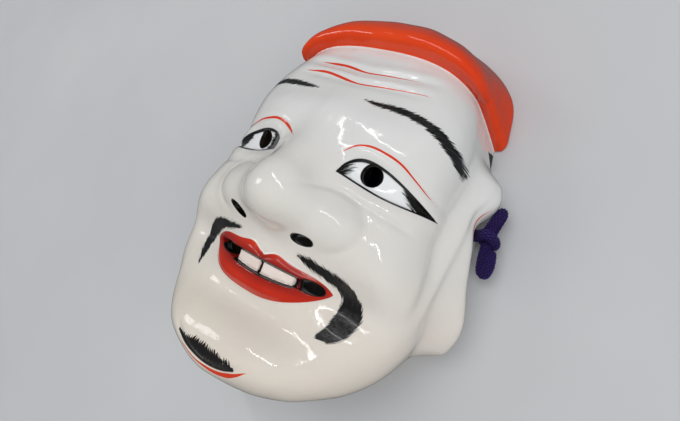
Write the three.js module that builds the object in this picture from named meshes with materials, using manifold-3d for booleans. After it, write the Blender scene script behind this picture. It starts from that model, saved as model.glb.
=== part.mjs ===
// A kagura mask: a smiling fortune god with a rolled cap, long ears, a gap-toothed mouth
// and a big chin, moulded in papier-mache as one hollow shell, with a braided head cord
// knotted through both ear holes.
//
// Lengths are in mm. The mask lies face up on its rim: +X is the mask's own left side,
// +Y runs from the chin to the cap, and z = 0 is the plane of the rim.

import * as THREE from 'three';
import { mergeVertices } from 'three/addons/utils/BufferGeometryUtils.js';
import Module from 'manifold-3d';

const wasm = await Module();
wasm.setup();

// Driving dimensions
const WALL = 4;                    // thickness of the papier-mache
const EAR_SHARE_INSIDE = 0.35;     // how much of the ears' relief shows on the inside
const MOUTH_BACKING = { x: 0, y: -38, sx: 30, sy: 9, h: 3 };
const CAP_INNER_ROUNDING = 6;
const CAP_INNER_BLEND = 4;
const CAP_INNER_SETBACK = 3.4;     // the hollow widens this far behind the cap's edge
const WIDEST_Z = 42;               // height at which the head is widest
const TOP_Z = 74;                  // height of the face plane at its middle
const FACE_DROP = 16;              // how far the face plane falls to the outline
const FACE_DROP_POWER = 1.4;
const EDGE_ROUNDING = 21;          // blend between the face and the side walls
const FOREHEAD_START_Y = 48;       // above this the forehead slopes back
const FOREHEAD_SLOPE = 0.28;

// Radius of the outline: a mean radius and cosine terms of the angle from the cap
const OUTLINE_TERMS = [87, -0.5, 15.5, 5, -2, -1];
const RIM_LEAN = 0.09;             // share by which the wall leans in at the rim
const RIM_LEAN_CHIN = 0.14;        // and how much more it does below the chin

// Soft forms of the face: centre, half spread and height. Those off the middle are mirrored.
const PAIRED_FORMS = [
  { name: 'cheek', x: 58, y: -18, sx: 22, sy: 26, h: 4.5 },
  { name: 'jaw', x: 40, y: -84, sx: 26, sy: 18, h: 5 },
  { name: 'brow ridge', x: 30, y: 43, sx: 24, sy: 9, h: 2.5 },
  { name: 'eye socket', x: 38, y: 19, sx: 22, sy: 12, h: -1.5 },
  { name: 'upper lid', x: 33, y: 31, sx: 19, sy: 8, h: 2.5 },
  { name: 'smile hollow', x: 49, y: -37, sx: 25, sy: 12, h: -9 },
];
const MIDDLE_FORMS = [
  { name: 'between the brows', x: 0, y: 46, sx: 12, sy: 12, h: 2 },
  { name: 'muzzle', x: 0, y: -34, sx: 24, sy: 20, h: -0.5 },
  { name: 'dip under the lip', x: 0, y: -58, sx: 30, sy: 7, h: -3.5 },
];
const CHIN = { x: 0, y: -86, sx: 50, sy: 24, h: 16.5 };
const CHIN_POWER = 2.6;

// Where the wall bulges out: below the chin, and at the right temple up to the cap's right end
const CHIN_JUT = { x: -6, sx: 18, fromZ: 57, toZ: 72, fromY: -60, toY: -80, h: 3.6 };
const RIGHT_TEMPLE = { y: 93, z: 52, sy: 27, sz: 22, h: 4.8 };
const RIGHT_TEMPLE_INNER_X = -30;

// Cap: how far it stands proud of the head in front and at the sides. Its edge crosses the
// forehead at CAP_EDGE_Y and bends towards the ears, and its underside leans back.
const CAP_FRONT = 10.2;
const CAP_SIDE_TOP = 9.1;
const CAP_SIDE_RIM = 14.7;
const CAP_SIDE_TOP_Z = 43.5;
const CAP_ROUNDING = 20.5;
const CAP_EDGE_Y = 88.7;
const CAP_EDGE_BEND = 0.0011;
const CAP_EDGE_BEND_FAR = 8.6e-7;
const CAP_EDGE_REACH = 62;         // beyond this distance from the middle the edge runs level
const CAP_EDGE_REACH_BLEND = 6;
const CAP_RIM_DROP = 8;            // how much lower the edge comes at the rim
const CAP_RIM_DROP_Z = 30;         // and the height from which it drops
const CAP_END_TAPER = 4.5;         // how much less proud the cap is at its two ends
const CAP_END_TAPER_RIM = 2.3;     // and how much more than that it is at the rim
const CAP_END_LOW = 68;
const CAP_END_HIGH = 100;
const CAP_UNDERSIDE_LEAN = 0.595;
const CAP_UNDERSIDE_SCALE = 1 / Math.hypot(1, CAP_UNDERSIDE_LEAN);

// Ears: a patch proud of the side walls, with a helix, a long lobe, a front ridge, a hollow round
// the cord's hole and a notch in the ridge in front of it
const EAR = { proud: 9.8, frontZ: 38, frontBend: 0.006, frontMiddleY: 5, low: -46.5, high: 50.5 };
const EAR_EDGE = 14;               // length over which the ear's ends fade into the head
const EAR_SLOPE = { start: -8, end: 11 };
const HELIX = { y: 36, z: 14, sy: 10, sz: 12, h: 5.8 };
const LOBE = { y: -26, z: 12, sy: 17, sz: 18, h: 4.5 };
const EAR_RIDGE = { inset: 12, width: 5, h: 1.9 };
const CONCHA = { y: 20, z: 9, sy: 8, sz: 7, h: 4.5 };
const EAR_NOTCH = { y: 24, z: 25, sy: 9, sz: 7, h: 2.4 };

// Nose: a bridge that widens to the tip, a round tip, a broad root and two wings
const NOSE_BRIDGE = { from: [0, 38, 54], to: [0, 2, 73], fromRadius: 12.5, toRadius: 16 };
const NOSE_TIP = { centre: [0, -4.5, 75], radii: [21, 15, 17], blend: 8 };
const NOSE_ROOT = { centre: [0, 6, 60], radii: [31, 24, 19], blend: 8 };
const NOSE_WING = { centre: [26, -7, 66.5], radii: [18, 12, 11.5], blend: 12 };
const NOSE_BLEND = 9;

// Eyes, lips and the mouth slot, as leaves between two corners
const EYE = { outer: 65, y: 15.4, fall: 2.6, rise: 12.3, dip: 2.2, recess: 1.3 };
const LEFT_EYE_INNER = 20.6;
const RIGHT_EYE_INNER = 18;
const LIPS = { corner: 39.2, y: -35.6, drop: 16.8, proud: 2, topPower: 8 };
const LEFT_LIP = { rise: 3.7, power: 2 };
const RIGHT_LIP = { rise: 4.6, power: 3.2 };
const SLOT = { corner: 34.5, y: -35.6, rise: 0.6, drop: 7 };
const LINE_GAP = 0.05;             // keeps the two lines of a leaf apart at its corners
const LEAF_COLUMN = 3.2;           // the widest step along a leaf
const LEAF_BACK_Z = 45;
const LEAF_FRONT_Z = 95;
const MIDDLE_OVERLAP = 0.01;       // the two halves of the lips overlap by this much

// Forehead wrinkles: y at the middle and rise to each side, each a groove with a fold over it
const WRINKLES = [{ y: 62.6, rise: 0.06 }, { y: 70.6, rise: 0.08 }];
const WRINKLE = { depth: 0.9, width: 2.4, fold: 0.7, foldWidth: 2.8, foldOffset: 4.3, reach: 46 };
const EYE_BAG = { x: 40, y: 6, sx: 16, sy: 5, h: 1 };
const CHIN_CREASE = { y: -66, radius: 22.5, stretch: 1.25, depth: 0.9, width: 1.8, reach: 32 };

// Through holes
const PUPIL = { x: 34.5, y: 20.2, radius: 4.6 };
const LEFT_NOSTRIL = { x: 19.9, y: -19.2, rx: 5.8, ry: 1.9, tilt: 0.1 };
const RIGHT_NOSTRIL = { x: 23, y: -18.4, rx: 6.2, ry: 1.5, tilt: 0.34 };
const LEFT_MOUTH_HOLE = { x: 29.2, y: -37, rx: 6.8, ry: 2.7, tilt: 0.1 };
const RIGHT_MOUTH_HOLE = { x: 24.4, y: -37.6, rx: 6.4, ry: 2.5, tilt: 0.1 };
const CORD_HOLE = { y: 19, z: 9, radius: 4.5, from: 48, to: 108 };
const HOLE_SIDES = 16;
const CORD_HOLE_SIDES = 12;
const FACE_BACK_Z = 30;            // the holes through the face run from here
const FACE_FRONT_Z = 100;          // to here
const NOSTRIL_BACK_Z = 40;
const NOSE_UNDERSIDE_Z = 84;       // and the nostrils only up to here
const LEFT_TOOTH = { inner: 1.7, outer: 20.5, floorZ: 67, tilt: 0.2 };
const RIGHT_TOOTH = { inner: 0.1, outer: 15.8, floorZ: 67, tilt: 0.2 };

// Head cord
const CORD_DIAMETER = 6.5;
const CORD_SIDES = 8;
const CORD_STEPS = 36;
const KNOT = { x: 79, y: 19, z: 9, rx: 6, ry: 7.5, rz: 6.5 };
const BIGHT_START = [79, 22, 9];
const BIGHT_END = [80.8, 33, 8];
const TAIL_START = [79, 15, 8.5];
const TAIL_END = [81.3, 3.2, 6.6];
const STRAND_RADIUS = 3.8;
const FIT_GAP = 0.3;

// Mesh density: cells across the outer and the inner surface
const OUTER_CELLS = 52;
const CAP_CELLS = 26;
const CAP_EDGE_CELLS = 26;
const INNER_CELLS = 24;
const CAP_MIDDLE_Y = 60;           // the middle from which the cap's cells spread
const SKY = { halfWidth: 80, halfLength: 112, height: 78 };
const UNDERSIDE_STEPS = 24;
const UNDERSIDE_FROM = -4;         // the cap's underside leans back from this depth in the skin
const UNDERSIDE_TO = 20;           // to this height over it
const STRAND_SIDES = 8;
const STRAND_END_ROWS = 3;
const KNOT_SIDES = 12;
const KNOT_ROWS = 8;
const SKIRT = 3;
const REACH = 175;                 // farther out than any point of the mask
const MARCH_STEP = 1.5;

const clamp = (value, low, high) => Math.min(Math.max(value, low), high);

function smoothStep(low, high, value) {
  const t = clamp((value - low) / (high - low), 0, 1);
  return t * t * (3 - 2 * t);
}

function smoothMax(a, b, blend) {
  const h = clamp(0.5 + 0.5 * (a - b) / blend, 0, 1);
  return b * (1 - h) + a * h + blend * h * (1 - h);
}

const smoothMin = (a, b, blend) => -smoothMax(-a, -b, blend);

const softRamp = (value, width) => width * Math.log1p(Math.exp(value / width));

const bell = (distance, width) => Math.exp(-((distance / width) ** 2));

function form(f, x, y, power = 2) {
  const across = Math.abs((x - f.x) / f.sx) ** power;
  const along = Math.abs((y - f.y) / f.sy) ** power;
  return f.h * Math.exp(-across - along);
}

function ellipsoid(x, y, z, centre, radii) {
  const px = (x - centre[0]) / radii[0];
  const py = (y - centre[1]) / radii[1];
  const pz = (z - centre[2]) / radii[2];
  const size = Math.hypot(px, py, pz) + 1e-9;
  const slope = Math.hypot(px / radii[0], py / radii[1], pz / radii[2]) + 1e-9;
  return size * (size - 1) / slope;
}

function capsule(x, y, z, a, b, radiusA, radiusB) {
  const ab = [b[0] - a[0], b[1] - a[1], b[2] - a[2]];
  const p = [x - a[0], y - a[1], z - a[2]];
  const length2 = ab[0] ** 2 + ab[1] ** 2 + ab[2] ** 2;
  const t = clamp((p[0] * ab[0] + p[1] * ab[1] + p[2] * ab[2]) / length2, 0, 1);
  const gap = Math.hypot(p[0] - t * ab[0], p[1] - t * ab[1], p[2] - t * ab[2]);
  return gap - (radiusA + (radiusB - radiusA) * t);
}

function outlineRadius(angle) {
  return OUTLINE_TERMS.reduce((sum, term, n) => sum + term * Math.cos(n * angle), 0);
}

// A soft form on the side of the head
const sideForm = (f, y, z) => f.h * bell(y - f.y, f.sy) * bell(z - f.z, f.sz);

// How far the ear stands off the side wall at height z
function earRelief(y, z) {
  const front = EAR.frontZ - EAR.frontBend * (y - EAR.frontMiddleY) ** 2;
  const lowEnd = smoothStep(EAR.low - EAR_EDGE / 2, EAR.low + EAR_EDGE / 2, y);
  const highEnd = 1 - smoothStep(EAR.high - EAR_EDGE / 2, EAR.high + EAR_EDGE / 2, y);
  const patch = smoothStep(EAR_SLOPE.start, EAR_SLOPE.end, front - z) * lowEnd * highEnd;
  const ridge = EAR_RIDGE.h * bell(z - front + EAR_RIDGE.inset, EAR_RIDGE.width);
  const raised = sideForm(HELIX, y, z) + sideForm(LOBE, y, z);
  const sunk = sideForm(CONCHA, y, z) + sideForm(EAR_NOTCH, y, z);
  return patch * (EAR.proud + ridge + raised - sunk);
}

// The line where the cap meets the forehead
function capEdge(ax, z) {
  const across = smoothMin(ax, CAP_EDGE_REACH, CAP_EDGE_REACH_BLEND);
  const drop = CAP_RIM_DROP * clamp(1 - z / CAP_RIM_DROP_Z, 0, 1);
  return CAP_EDGE_Y - CAP_EDGE_BEND * across ** 2 - CAP_EDGE_BEND_FAR * across ** 4 - drop;
}

// Head without nose and mouth, and the cap's outer form. Negative is inside.
function headAndCap(x, y, z, earShare) {
  const ax = Math.sqrt(x * x + 0.3);
  const reach = Math.hypot(x, y) + 1e-6;
  const angle = Math.atan2(ax, y);
  const radius = outlineRadius(angle);
  let height = TOP_Z - FACE_DROP * (reach / radius) ** FACE_DROP_POWER;
  height -= FOREHEAD_SLOPE * softRamp(y - FOREHEAD_START_Y, 5);
  for (const f of PAIRED_FORMS) height += form(f, ax, y);
  for (const f of MIDDLE_FORMS) height += form(f, x, y);
  height += form(CHIN, x, y, CHIN_POWER);
  const below = Math.max(0, WIDEST_Z - z) / WIDEST_Z;
  const lean = RIM_LEAN - RIM_LEAN_CHIN * Math.cos(angle);
  const jut = bell(x - CHIN_JUT.x, CHIN_JUT.sx) * smoothStep(CHIN_JUT.fromY, CHIN_JUT.toY, y);
  const chin = CHIN_JUT.h * jut * smoothStep(CHIN_JUT.fromZ, CHIN_JUT.toZ, z);
  const temple = sideForm(RIGHT_TEMPLE, y, z) * smoothStep(0, RIGHT_TEMPLE_INNER_X, x);
  const wall = reach - radius * (1 - lean * below ** 2) - chin - temple;
  const ear = earShare * earRelief(y, z);
  const head = smoothMax(z - height, wall - ear, EDGE_ROUNDING);
  const lowness = clamp(1 - z / CAP_SIDE_TOP_Z, 0, 1);
  const endness = 1 - smoothStep(CAP_END_LOW, CAP_END_HIGH, y);
  const taper = (CAP_END_TAPER + CAP_END_TAPER_RIM * lowness) * endness;
  const flare = (CAP_SIDE_RIM - CAP_SIDE_TOP) * lowness;
  const capSide = CAP_SIDE_TOP + flare - taper;
  return { head, cap: smoothMax(z - height - CAP_FRONT, wall - capSide, CAP_ROUNDING) };
}

function noseField(x, y, z) {
  const ax = Math.sqrt(x * x + 0.3);
  const { from, to, fromRadius, toRadius } = NOSE_BRIDGE;
  let nose = capsule(x, y, z, from, to, fromRadius, toRadius);
  for (const part of [NOSE_TIP, NOSE_ROOT, NOSE_WING]) {
    nose = smoothMin(nose, ellipsoid(part === NOSE_WING ? ax : x, y, z, part.centre, part.radii), part.blend);
  }
  return nose;
}

// Each leaf of the face lies between a high and a low line, given by the distance from the middle
function eyeLines(ax, side) {
  const inner = side > 0 ? LEFT_EYE_INNER : RIGHT_EYE_INNER;
  const t = clamp((ax - inner) / (EYE.outer - inner), 0, 1);
  const chord = EYE.y - EYE.fall * t;
  return {
    high: chord + EYE.rise * Math.sin(Math.PI * t ** 0.62) ** 0.75 * (1 - 0.22 * t) + LINE_GAP,
    low: chord - EYE.dip * Math.sin(Math.PI * t ** 1.2) - LINE_GAP,
  };
}

function lipLines(ax, side) {
  const s = clamp(ax / LIPS.corner, 0, 1);
  const { rise, power } = side > 0 ? LEFT_LIP : RIGHT_LIP;
  const bow = 1.6 * bell(ax - 9, 6.5) - 1.6 * bell(ax, 4.2);
  return {
    high: LIPS.y + rise * (1 - s ** LIPS.topPower) + bow + LINE_GAP,
    low: LIPS.y - LIPS.drop * (1 - s ** power) ** 0.85 - LINE_GAP,
  };
}

function slotLines(ax) {
  const s = clamp(ax / SLOT.corner, 0, 1);
  return {
    high: SLOT.y + SLOT.rise * s ** 6,
    low: SLOT.y - SLOT.drop * (1 - s ** 2.2) ** 0.8,
  };
}

// Skin of the face and head, before the cap, the lips and the eyes. Negative is inside.
function skinField(x, y, z) {
  const ax = Math.sqrt(x * x + 0.3);
  const front = smoothStep(25, 45, z);
  let field = headAndCap(x, y, z, 1).head;
  for (const line of WRINKLES) {
    const across = y - line.y - line.rise * ax;
    const groove = WRINKLE.depth * bell(across, WRINKLE.width);
    const fold = WRINKLE.fold * bell(across - WRINKLE.foldOffset, WRINKLE.foldWidth);
    field += front * (1 - smoothStep(WRINKLE.reach - 20, WRINKLE.reach, ax)) * (groove - fold);
  }
  field -= front * form(EYE_BAG, ax, y);
  field = smoothMin(field, noseField(x, y, z), NOSE_BLEND);
  const across = Math.hypot(x / CHIN_CREASE.stretch, y - CHIN_CREASE.y) - CHIN_CREASE.radius;
  const middleOnly = 1 - smoothStep(CHIN_CREASE.reach - 18, CHIN_CREASE.reach, ax);
  const underChin = smoothStep(8, 16, CHIN_CREASE.y - y);
  return field + front * middleOnly * underChin * CHIN_CREASE.depth * bell(across, CHIN_CREASE.width);
}

const capField = (x, y, z) => headAndCap(x, y, z, 1).cap;

// The cap's underside at a place of the front view: it starts on the skin and leans back
function capUnderside(x, z) {
  const edge = capEdge(Math.abs(x), z);
  let y = edge;
  for (let n = 0; n < UNDERSIDE_STEPS; n += 1) {
    const off = clamp(headAndCap(x, y, z, 1).head, UNDERSIDE_FROM, UNDERSIDE_TO);
    y = edge + CAP_UNDERSIDE_LEAN * off;
  }
  return y;
}

// The hollow behind the face. It keeps more wall behind the mouth and in the ears.
function innerField(x, y, z) {
  const { head, cap } = headAndCap(x, y, z, EAR_SHARE_INSIDE);
  const edge = capEdge(Math.abs(x), z) + CAP_INNER_SETBACK;
  const underside = CAP_UNDERSIDE_SCALE * (edge - y + CAP_UNDERSIDE_LEAN * head);
  let field = smoothMin(head, noseField(x, y, z), NOSE_BLEND);
  field = smoothMin(field, smoothMax(cap, underside, CAP_INNER_ROUNDING), CAP_INNER_BLEND);
  return field + WALL + form(MOUTH_BACKING, x, y);
}

// A square grid of directions over the half sky, wrapped so that its border is level
function skyDirection(i, j, cells) {
  const u = 2 * i / cells - 1;
  const v = 2 * j / cells - 1;
  const px = u * Math.sqrt(1 - v * v / 2);
  const py = v * Math.sqrt(1 - u * u / 2);
  const onBorder = Math.abs(u) === 1 || Math.abs(v) === 1;
  const turn = Math.atan2(py, px);
  const polar = Math.hypot(px, py) * Math.PI / 2;
  const direction = new THREE.Vector3(
    SKY.halfWidth * Math.sin(polar) * Math.cos(turn),
    SKY.halfLength * Math.sin(polar) * Math.sin(turn),
    onBorder ? 0 : SKY.height * Math.cos(polar),
  );
  return direction.normalize();
}

// The outermost point of a field along a direction from a middle point on the rim plane
function surfacePoint(field, middleY, direction) {
  const at = (distance) => field(
    direction.x * distance,
    direction.y * distance + middleY,
    direction.z * distance,
  );
  let outside = REACH;
  let inside = REACH;
  while (at(inside) > 0) {
    outside = inside;
    inside -= MARCH_STEP;
  }
  for (let n = 0; n < 16; n += 1) {
    const middle = (outside + inside) / 2;
    if (at(middle) > 0) outside = middle;
    else inside = middle;
  }
  const point = direction.clone().multiplyScalar(inside);
  point.y += middleY;
  return point;
}

// Indices of a grid's border, in one turn
function borderLoop(cells) {
  const row = cells + 1;
  const loop = [];
  for (let i = 0; i < cells; i += 1) loop.push(i);
  for (let j = 0; j < cells; j += 1) loop.push(j * row + cells);
  for (let i = cells; i > 0; i -= 1) loop.push(cells * row + i);
  for (let j = cells; j > 0; j -= 1) loop.push(j * row);
  return loop;
}

// A closed solid under a field's surface, with a skirt that goes below the rim plane
function domeSolid(field, cells, middleY = 0) {
  const row = cells + 1;
  const points = [];
  for (let j = 0; j <= cells; j += 1) {
    for (let i = 0; i <= cells; i += 1) {
      points.push(surfacePoint(field, middleY, skyDirection(i, j, cells)));
    }
  }
  const triangles = [];
  for (let j = 0; j < cells; j += 1) {
    for (let i = 0; i < cells; i += 1) {
      const a = j * row + i;
      const b = a + 1;
      const c = a + row;
      const d = c + 1;
      const alongAd = points[a].distanceTo(points[d]) < points[b].distanceTo(points[c]);
      triangles.push(...(alongAd ? [a, b, d, a, d, c] : [a, b, c, b, d, c]));
    }
  }
  const loop = borderLoop(cells);
  const skirt = points.length;
  for (const index of loop) points.push(points[index].clone().setZ(-SKIRT));
  const bottom = points.length;
  points.push(new THREE.Vector3(0, middleY, -SKIRT));
  for (let n = 0; n < loop.length; n += 1) {
    const next = (n + 1) % loop.length;
    triangles.push(loop[n], skirt + n, loop[next]);
    triangles.push(loop[next], skirt + n, skirt + next);
    triangles.push(skirt + n, bottom, skirt + next);
  }
  const geometry = new THREE.BufferGeometry();
  geometry.setFromPoints(points);
  geometry.setIndex(triangles);
  return toSolid(geometry);
}

// Solids for cutting and joining
function toSolid(geometry) {
  const bare = geometry.clone();
  bare.deleteAttribute('normal');
  bare.deleteAttribute('uv');
  const merged = mergeVertices(bare, 1e-4);
  return new wasm.Manifold(new wasm.Mesh({
    numProp: 3,
    vertProperties: new Float32Array(merged.attributes.position.array),
    triVerts: new Uint32Array(merged.index.array),
  }));
}

function toGeometry(solid) {
  const mesh = solid.getMesh();
  const geometry = new THREE.BufferGeometry();
  geometry.setAttribute('position', new THREE.BufferAttribute(mesh.vertProperties, 3));
  geometry.setIndex(new THREE.BufferAttribute(mesh.triVerts, 1));
  return geometry;
}

// A straight bit of oval section, its axis along Z, for a hole through the face
function ovalBit(hole, side, low = FACE_BACK_Z, high = FACE_FRONT_Z) {
  const bit = new THREE.CylinderGeometry(1, 1, high - low, HOLE_SIDES);
  bit.rotateX(Math.PI / 2);
  bit.scale(hole.rx ?? hole.radius, hole.ry ?? hole.radius, 1);
  bit.rotateZ(side * (hole.tilt ?? 0));
  bit.translate(side * hole.x, hole.y, (low + high) / 2);
  return toSolid(bit);
}

// The space that the cap fills, behind its underside
function capSpace() {
  const width = 2 * (OUTLINE_TERMS[0] + CAP_SIDE_RIM);
  const height = TOP_Z + CAP_FRONT + SKIRT;
  const box = new THREE.BoxGeometry(width, REACH, height, CAP_EDGE_CELLS, 1, CAP_EDGE_CELLS / 2);
  box.translate(0, REACH / 2, height / 2 - SKIRT);
  const place = box.attributes.position;
  for (let n = 0; n < place.count; n += 1) {
    if (place.getY(n) < REACH / 2) place.setY(n, capUnderside(place.getX(n), place.getZ(n)));
  }
  return toSolid(box);
}

function cordHoleBit(side) {
  const { y, z, radius, from, to } = CORD_HOLE;
  const bit = new THREE.CylinderGeometry(radius, radius, to - from, CORD_HOLE_SIDES);
  bit.rotateZ(Math.PI / 2);
  bit.translate(side * (from + to) / 2, y, z);
  return toSolid(bit);
}

// An upright prism between two lines of the face, from one x to another on one side
function leafPrism(lines, from, to, side, low = LEAF_BACK_Z, high = LEAF_FRONT_Z) {
  const columns = Math.ceil((to - from) / LEAF_COLUMN);
  const xs = Array.from({ length: columns + 1 }, (_, n) => from + (to - from) * n / columns);
  const upper = xs.map((x) => new THREE.Vector2(side * x, lines(x, side).high));
  const lower = xs.map((x) => new THREE.Vector2(side * x, lines(x, side).low));
  const outline = new THREE.Shape([...upper, ...lower.reverse()]);
  const prism = new THREE.ExtrudeGeometry(outline, { depth: high - low, bevelEnabled: false });
  prism.translate(0, 0, low);
  return prism;
}

// Raised lips: the part of a slightly larger head that stands over the lip outline
function lipSolid() {
  const larger = domeSolid((x, y, z) => skinField(x, y, z) - LIPS.proud, OUTER_CELLS);
  const right = toSolid(leafPrism(lipLines, -MIDDLE_OVERLAP, LIPS.corner, -1));
  const left = toSolid(leafPrism(lipLines, -MIDDLE_OVERLAP, LIPS.corner, 1));
  return larger.intersect(right.add(left));
}

// What is cut away over the eye leaves, so that the eyes lie a little deeper than the lids
function eyeCut() {
  const smaller = domeSolid((x, y, z) => skinField(x, y, z) + EYE.recess, OUTER_CELLS);
  const right = toSolid(leafPrism(eyeLines, RIGHT_EYE_INNER, EYE.outer, -1));
  const left = toSolid(leafPrism(eyeLines, LEFT_EYE_INNER, EYE.outer, 1));
  return right.add(left).subtract(smaller);
}

// The recess in front of one tooth, between the lips, with a flat floor that turns with the jaw
function toothRecess(tooth, side) {
  const bit = leafPrism(slotLines, tooth.inner, tooth.outer, side, 0, FACE_FRONT_Z - tooth.floorZ);
  bit.applyMatrix4(new THREE.Matrix4().makeShear(0, -side * Math.tan(tooth.tilt), 0, 0, 0, 0));
  bit.translate(0, 0, tooth.floorZ);
  return toSolid(bit);
}

function maskGeometry() {
  const aboveRim = new THREE.BoxGeometry(2 * REACH, 2 * REACH, REACH);
  aboveRim.translate(0, 0, REACH / 2);
  let mask = domeSolid(skinField, OUTER_CELLS);
  mask = mask.add(domeSolid(capField, CAP_CELLS, CAP_MIDDLE_Y).intersect(capSpace()));
  mask = mask.add(lipSolid());
  mask = mask.subtract(eyeCut());
  mask = mask.subtract(domeSolid(innerField, INNER_CELLS));
  for (const side of [-1, 1]) {
    mask = mask.subtract(toothRecess(side > 0 ? LEFT_TOOTH : RIGHT_TOOTH, side));
    mask = mask.subtract(ovalBit(side > 0 ? LEFT_MOUTH_HOLE : RIGHT_MOUTH_HOLE, side));
    mask = mask.subtract(ovalBit(PUPIL, side));
    const nostril = side > 0 ? LEFT_NOSTRIL : RIGHT_NOSTRIL;
    mask = mask.subtract(ovalBit(nostril, side, NOSTRIL_BACK_Z, NOSE_UNDERSIDE_Z));
    mask = mask.subtract(cordHoleBit(side));
  }
  return toGeometry(mask.intersect(toSolid(aboveRim)));
}

// Route of the cord: in through the left ear hole, down to the ground inside the mask, along it
// in two wide turns, and up to the right ear hole
const CORD_LOW_Z = CORD_DIAMETER / 2 + 0.2;
const CORD_END_X = KNOT.x - KNOT.rx - FIT_GAP;
const CORD_ROUTE = [
  [CORD_END_X, CORD_HOLE.y, CORD_HOLE.z],
  [66, CORD_HOLE.y, 8.95],
  [59.5, 18.6, 8.2],
  [53.5, 16, 6.6],
  [49, 11, 5],
  [46.4, 3.5, 3.8],
  [45.3, -7, CORD_LOW_Z],
  [45, -22, CORD_LOW_Z],
  [45, -38, CORD_LOW_Z],
  [39.3, -51.8, CORD_LOW_Z],
  [25.5, -57.5, CORD_LOW_Z],
  [11.7, -51.8, CORD_LOW_Z],
  [6, -38, CORD_LOW_Z],
  [5, -20, CORD_LOW_Z],
  [3.5, 0, CORD_LOW_Z],
  [1, 20, CORD_LOW_Z],
  [-0.5, 40, CORD_LOW_Z],
  [-1, 54, CORD_LOW_Z],
  [-1, 66, CORD_LOW_Z],
  [-6.7, 79.8, CORD_LOW_Z],
  [-20.5, 85.5, CORD_LOW_Z],
  [-34.3, 79.8, CORD_LOW_Z],
  [-40, 66, CORD_LOW_Z],
  [-40.3, 52, CORD_LOW_Z],
  [-41.2, 41, CORD_LOW_Z],
  [-44.4, 31, 3.9],
  [-50, 23.8, 5.6],
  [-56.5, 20, 7.5],
  [-63, CORD_HOLE.y, 8.7],
  [-CORD_END_X, CORD_HOLE.y, CORD_HOLE.z],
];

function cordGeometry() {
  const route = new THREE.CatmullRomCurve3(
    CORD_ROUTE.map((point) => new THREE.Vector3(...point)),
    false,
    'centripetal',
  );
  const section = new THREE.Shape();
  section.absarc(0, 0, CORD_DIAMETER / 2, 0, 2 * Math.PI);
  return new THREE.ExtrudeGeometry(section, {
    steps: CORD_STEPS,
    curveSegments: CORD_SIDES / 2,
    extrudePath: route,
    bevelEnabled: false,
  });
}

function strand(from, to, radius) {
  const start = new THREE.Vector3(...from);
  const end = new THREE.Vector3(...to);
  const geometry = new THREE.CapsuleGeometry(radius, start.distanceTo(end), STRAND_END_ROWS, STRAND_SIDES);
  const turn = new THREE.Quaternion().setFromUnitVectors(
    new THREE.Vector3(0, 1, 0),
    end.clone().sub(start).normalize(),
  );
  geometry.applyQuaternion(turn);
  const middle = start.add(end).multiplyScalar(0.5);
  geometry.translate(middle.x, middle.y, middle.z);
  return toSolid(geometry);
}

// The knot outside an ear hole, with the bight above it and the tail below
function knotGeometry(side) {
  const ball = new THREE.SphereGeometry(1, KNOT_SIDES, KNOT_ROWS);
  ball.scale(KNOT.rx, KNOT.ry, KNOT.rz);
  ball.translate(KNOT.x, KNOT.y, KNOT.z);
  const knot = toSolid(ball)
    .add(strand(BIGHT_START, BIGHT_END, STRAND_RADIUS))
    .add(strand(TAIL_START, TAIL_END, STRAND_RADIUS));
  const geometry = toGeometry(knot);
  if (side < 0) {
    geometry.scale(-1, 1, 1);
    const corners = geometry.index.array;
    for (let n = 0; n < corners.length; n += 3) {
      [corners[n], corners[n + 1]] = [corners[n + 1], corners[n]];
    }
  }
  return geometry;
}

const lacquer = new THREE.MeshStandardMaterial({ color: 0xe9e4dc, roughness: 0.15, metalness: 0 });
const braid = new THREE.MeshStandardMaterial({ color: 0x2a1470, roughness: 0.8, metalness: 0 });

function named(name, geometry, material) {
  const mesh = new THREE.Mesh(geometry, material);
  mesh.name = name;
  return mesh;
}

const mask = new THREE.Group();
const shell = named('mask_shell', maskGeometry(), lacquer);
mask.add(shell);
mask.add(named('head_cord', cordGeometry(), braid));
mask.add(named('cord_knot_left', knotGeometry(1), braid));
mask.add(named('cord_knot_right', knotGeometry(-1), braid));

// The origin is on the rim plane, under the middle of the shell's length
shell.geometry.computeBoundingBox();
mask.position.y = -(shell.geometry.boundingBox.min.y + shell.geometry.boundingBox.max.y) / 2;

const model = new THREE.Group();
model.add(mask);

export default model;
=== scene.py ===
"""A kagura mask of lacquered papier-mache, lying face up, with its braided head cord."""
import math

import bpy
import numpy as np
from mathutils import Matrix, Vector


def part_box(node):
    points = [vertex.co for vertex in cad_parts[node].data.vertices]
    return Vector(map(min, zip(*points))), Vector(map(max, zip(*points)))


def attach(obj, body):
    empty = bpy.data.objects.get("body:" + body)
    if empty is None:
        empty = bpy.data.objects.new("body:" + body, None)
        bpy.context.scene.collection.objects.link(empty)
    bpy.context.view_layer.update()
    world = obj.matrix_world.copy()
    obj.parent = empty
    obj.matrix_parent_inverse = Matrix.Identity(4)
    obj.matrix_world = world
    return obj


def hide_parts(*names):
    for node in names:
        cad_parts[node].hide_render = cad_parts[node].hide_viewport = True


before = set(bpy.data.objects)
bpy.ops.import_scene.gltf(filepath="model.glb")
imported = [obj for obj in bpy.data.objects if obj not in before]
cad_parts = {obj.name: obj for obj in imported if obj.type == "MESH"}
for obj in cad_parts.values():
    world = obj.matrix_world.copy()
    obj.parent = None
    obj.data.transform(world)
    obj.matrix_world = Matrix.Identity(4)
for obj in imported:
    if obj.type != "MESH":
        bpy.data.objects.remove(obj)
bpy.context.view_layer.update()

# Lengths below are in mm, in the mask's own axes: +X to its left ear, +Y to the cap, +Z out of
# the face, z = 0 on the rim plane and y = 0 at the bridge of the nose.
MM = 0.001

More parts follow.
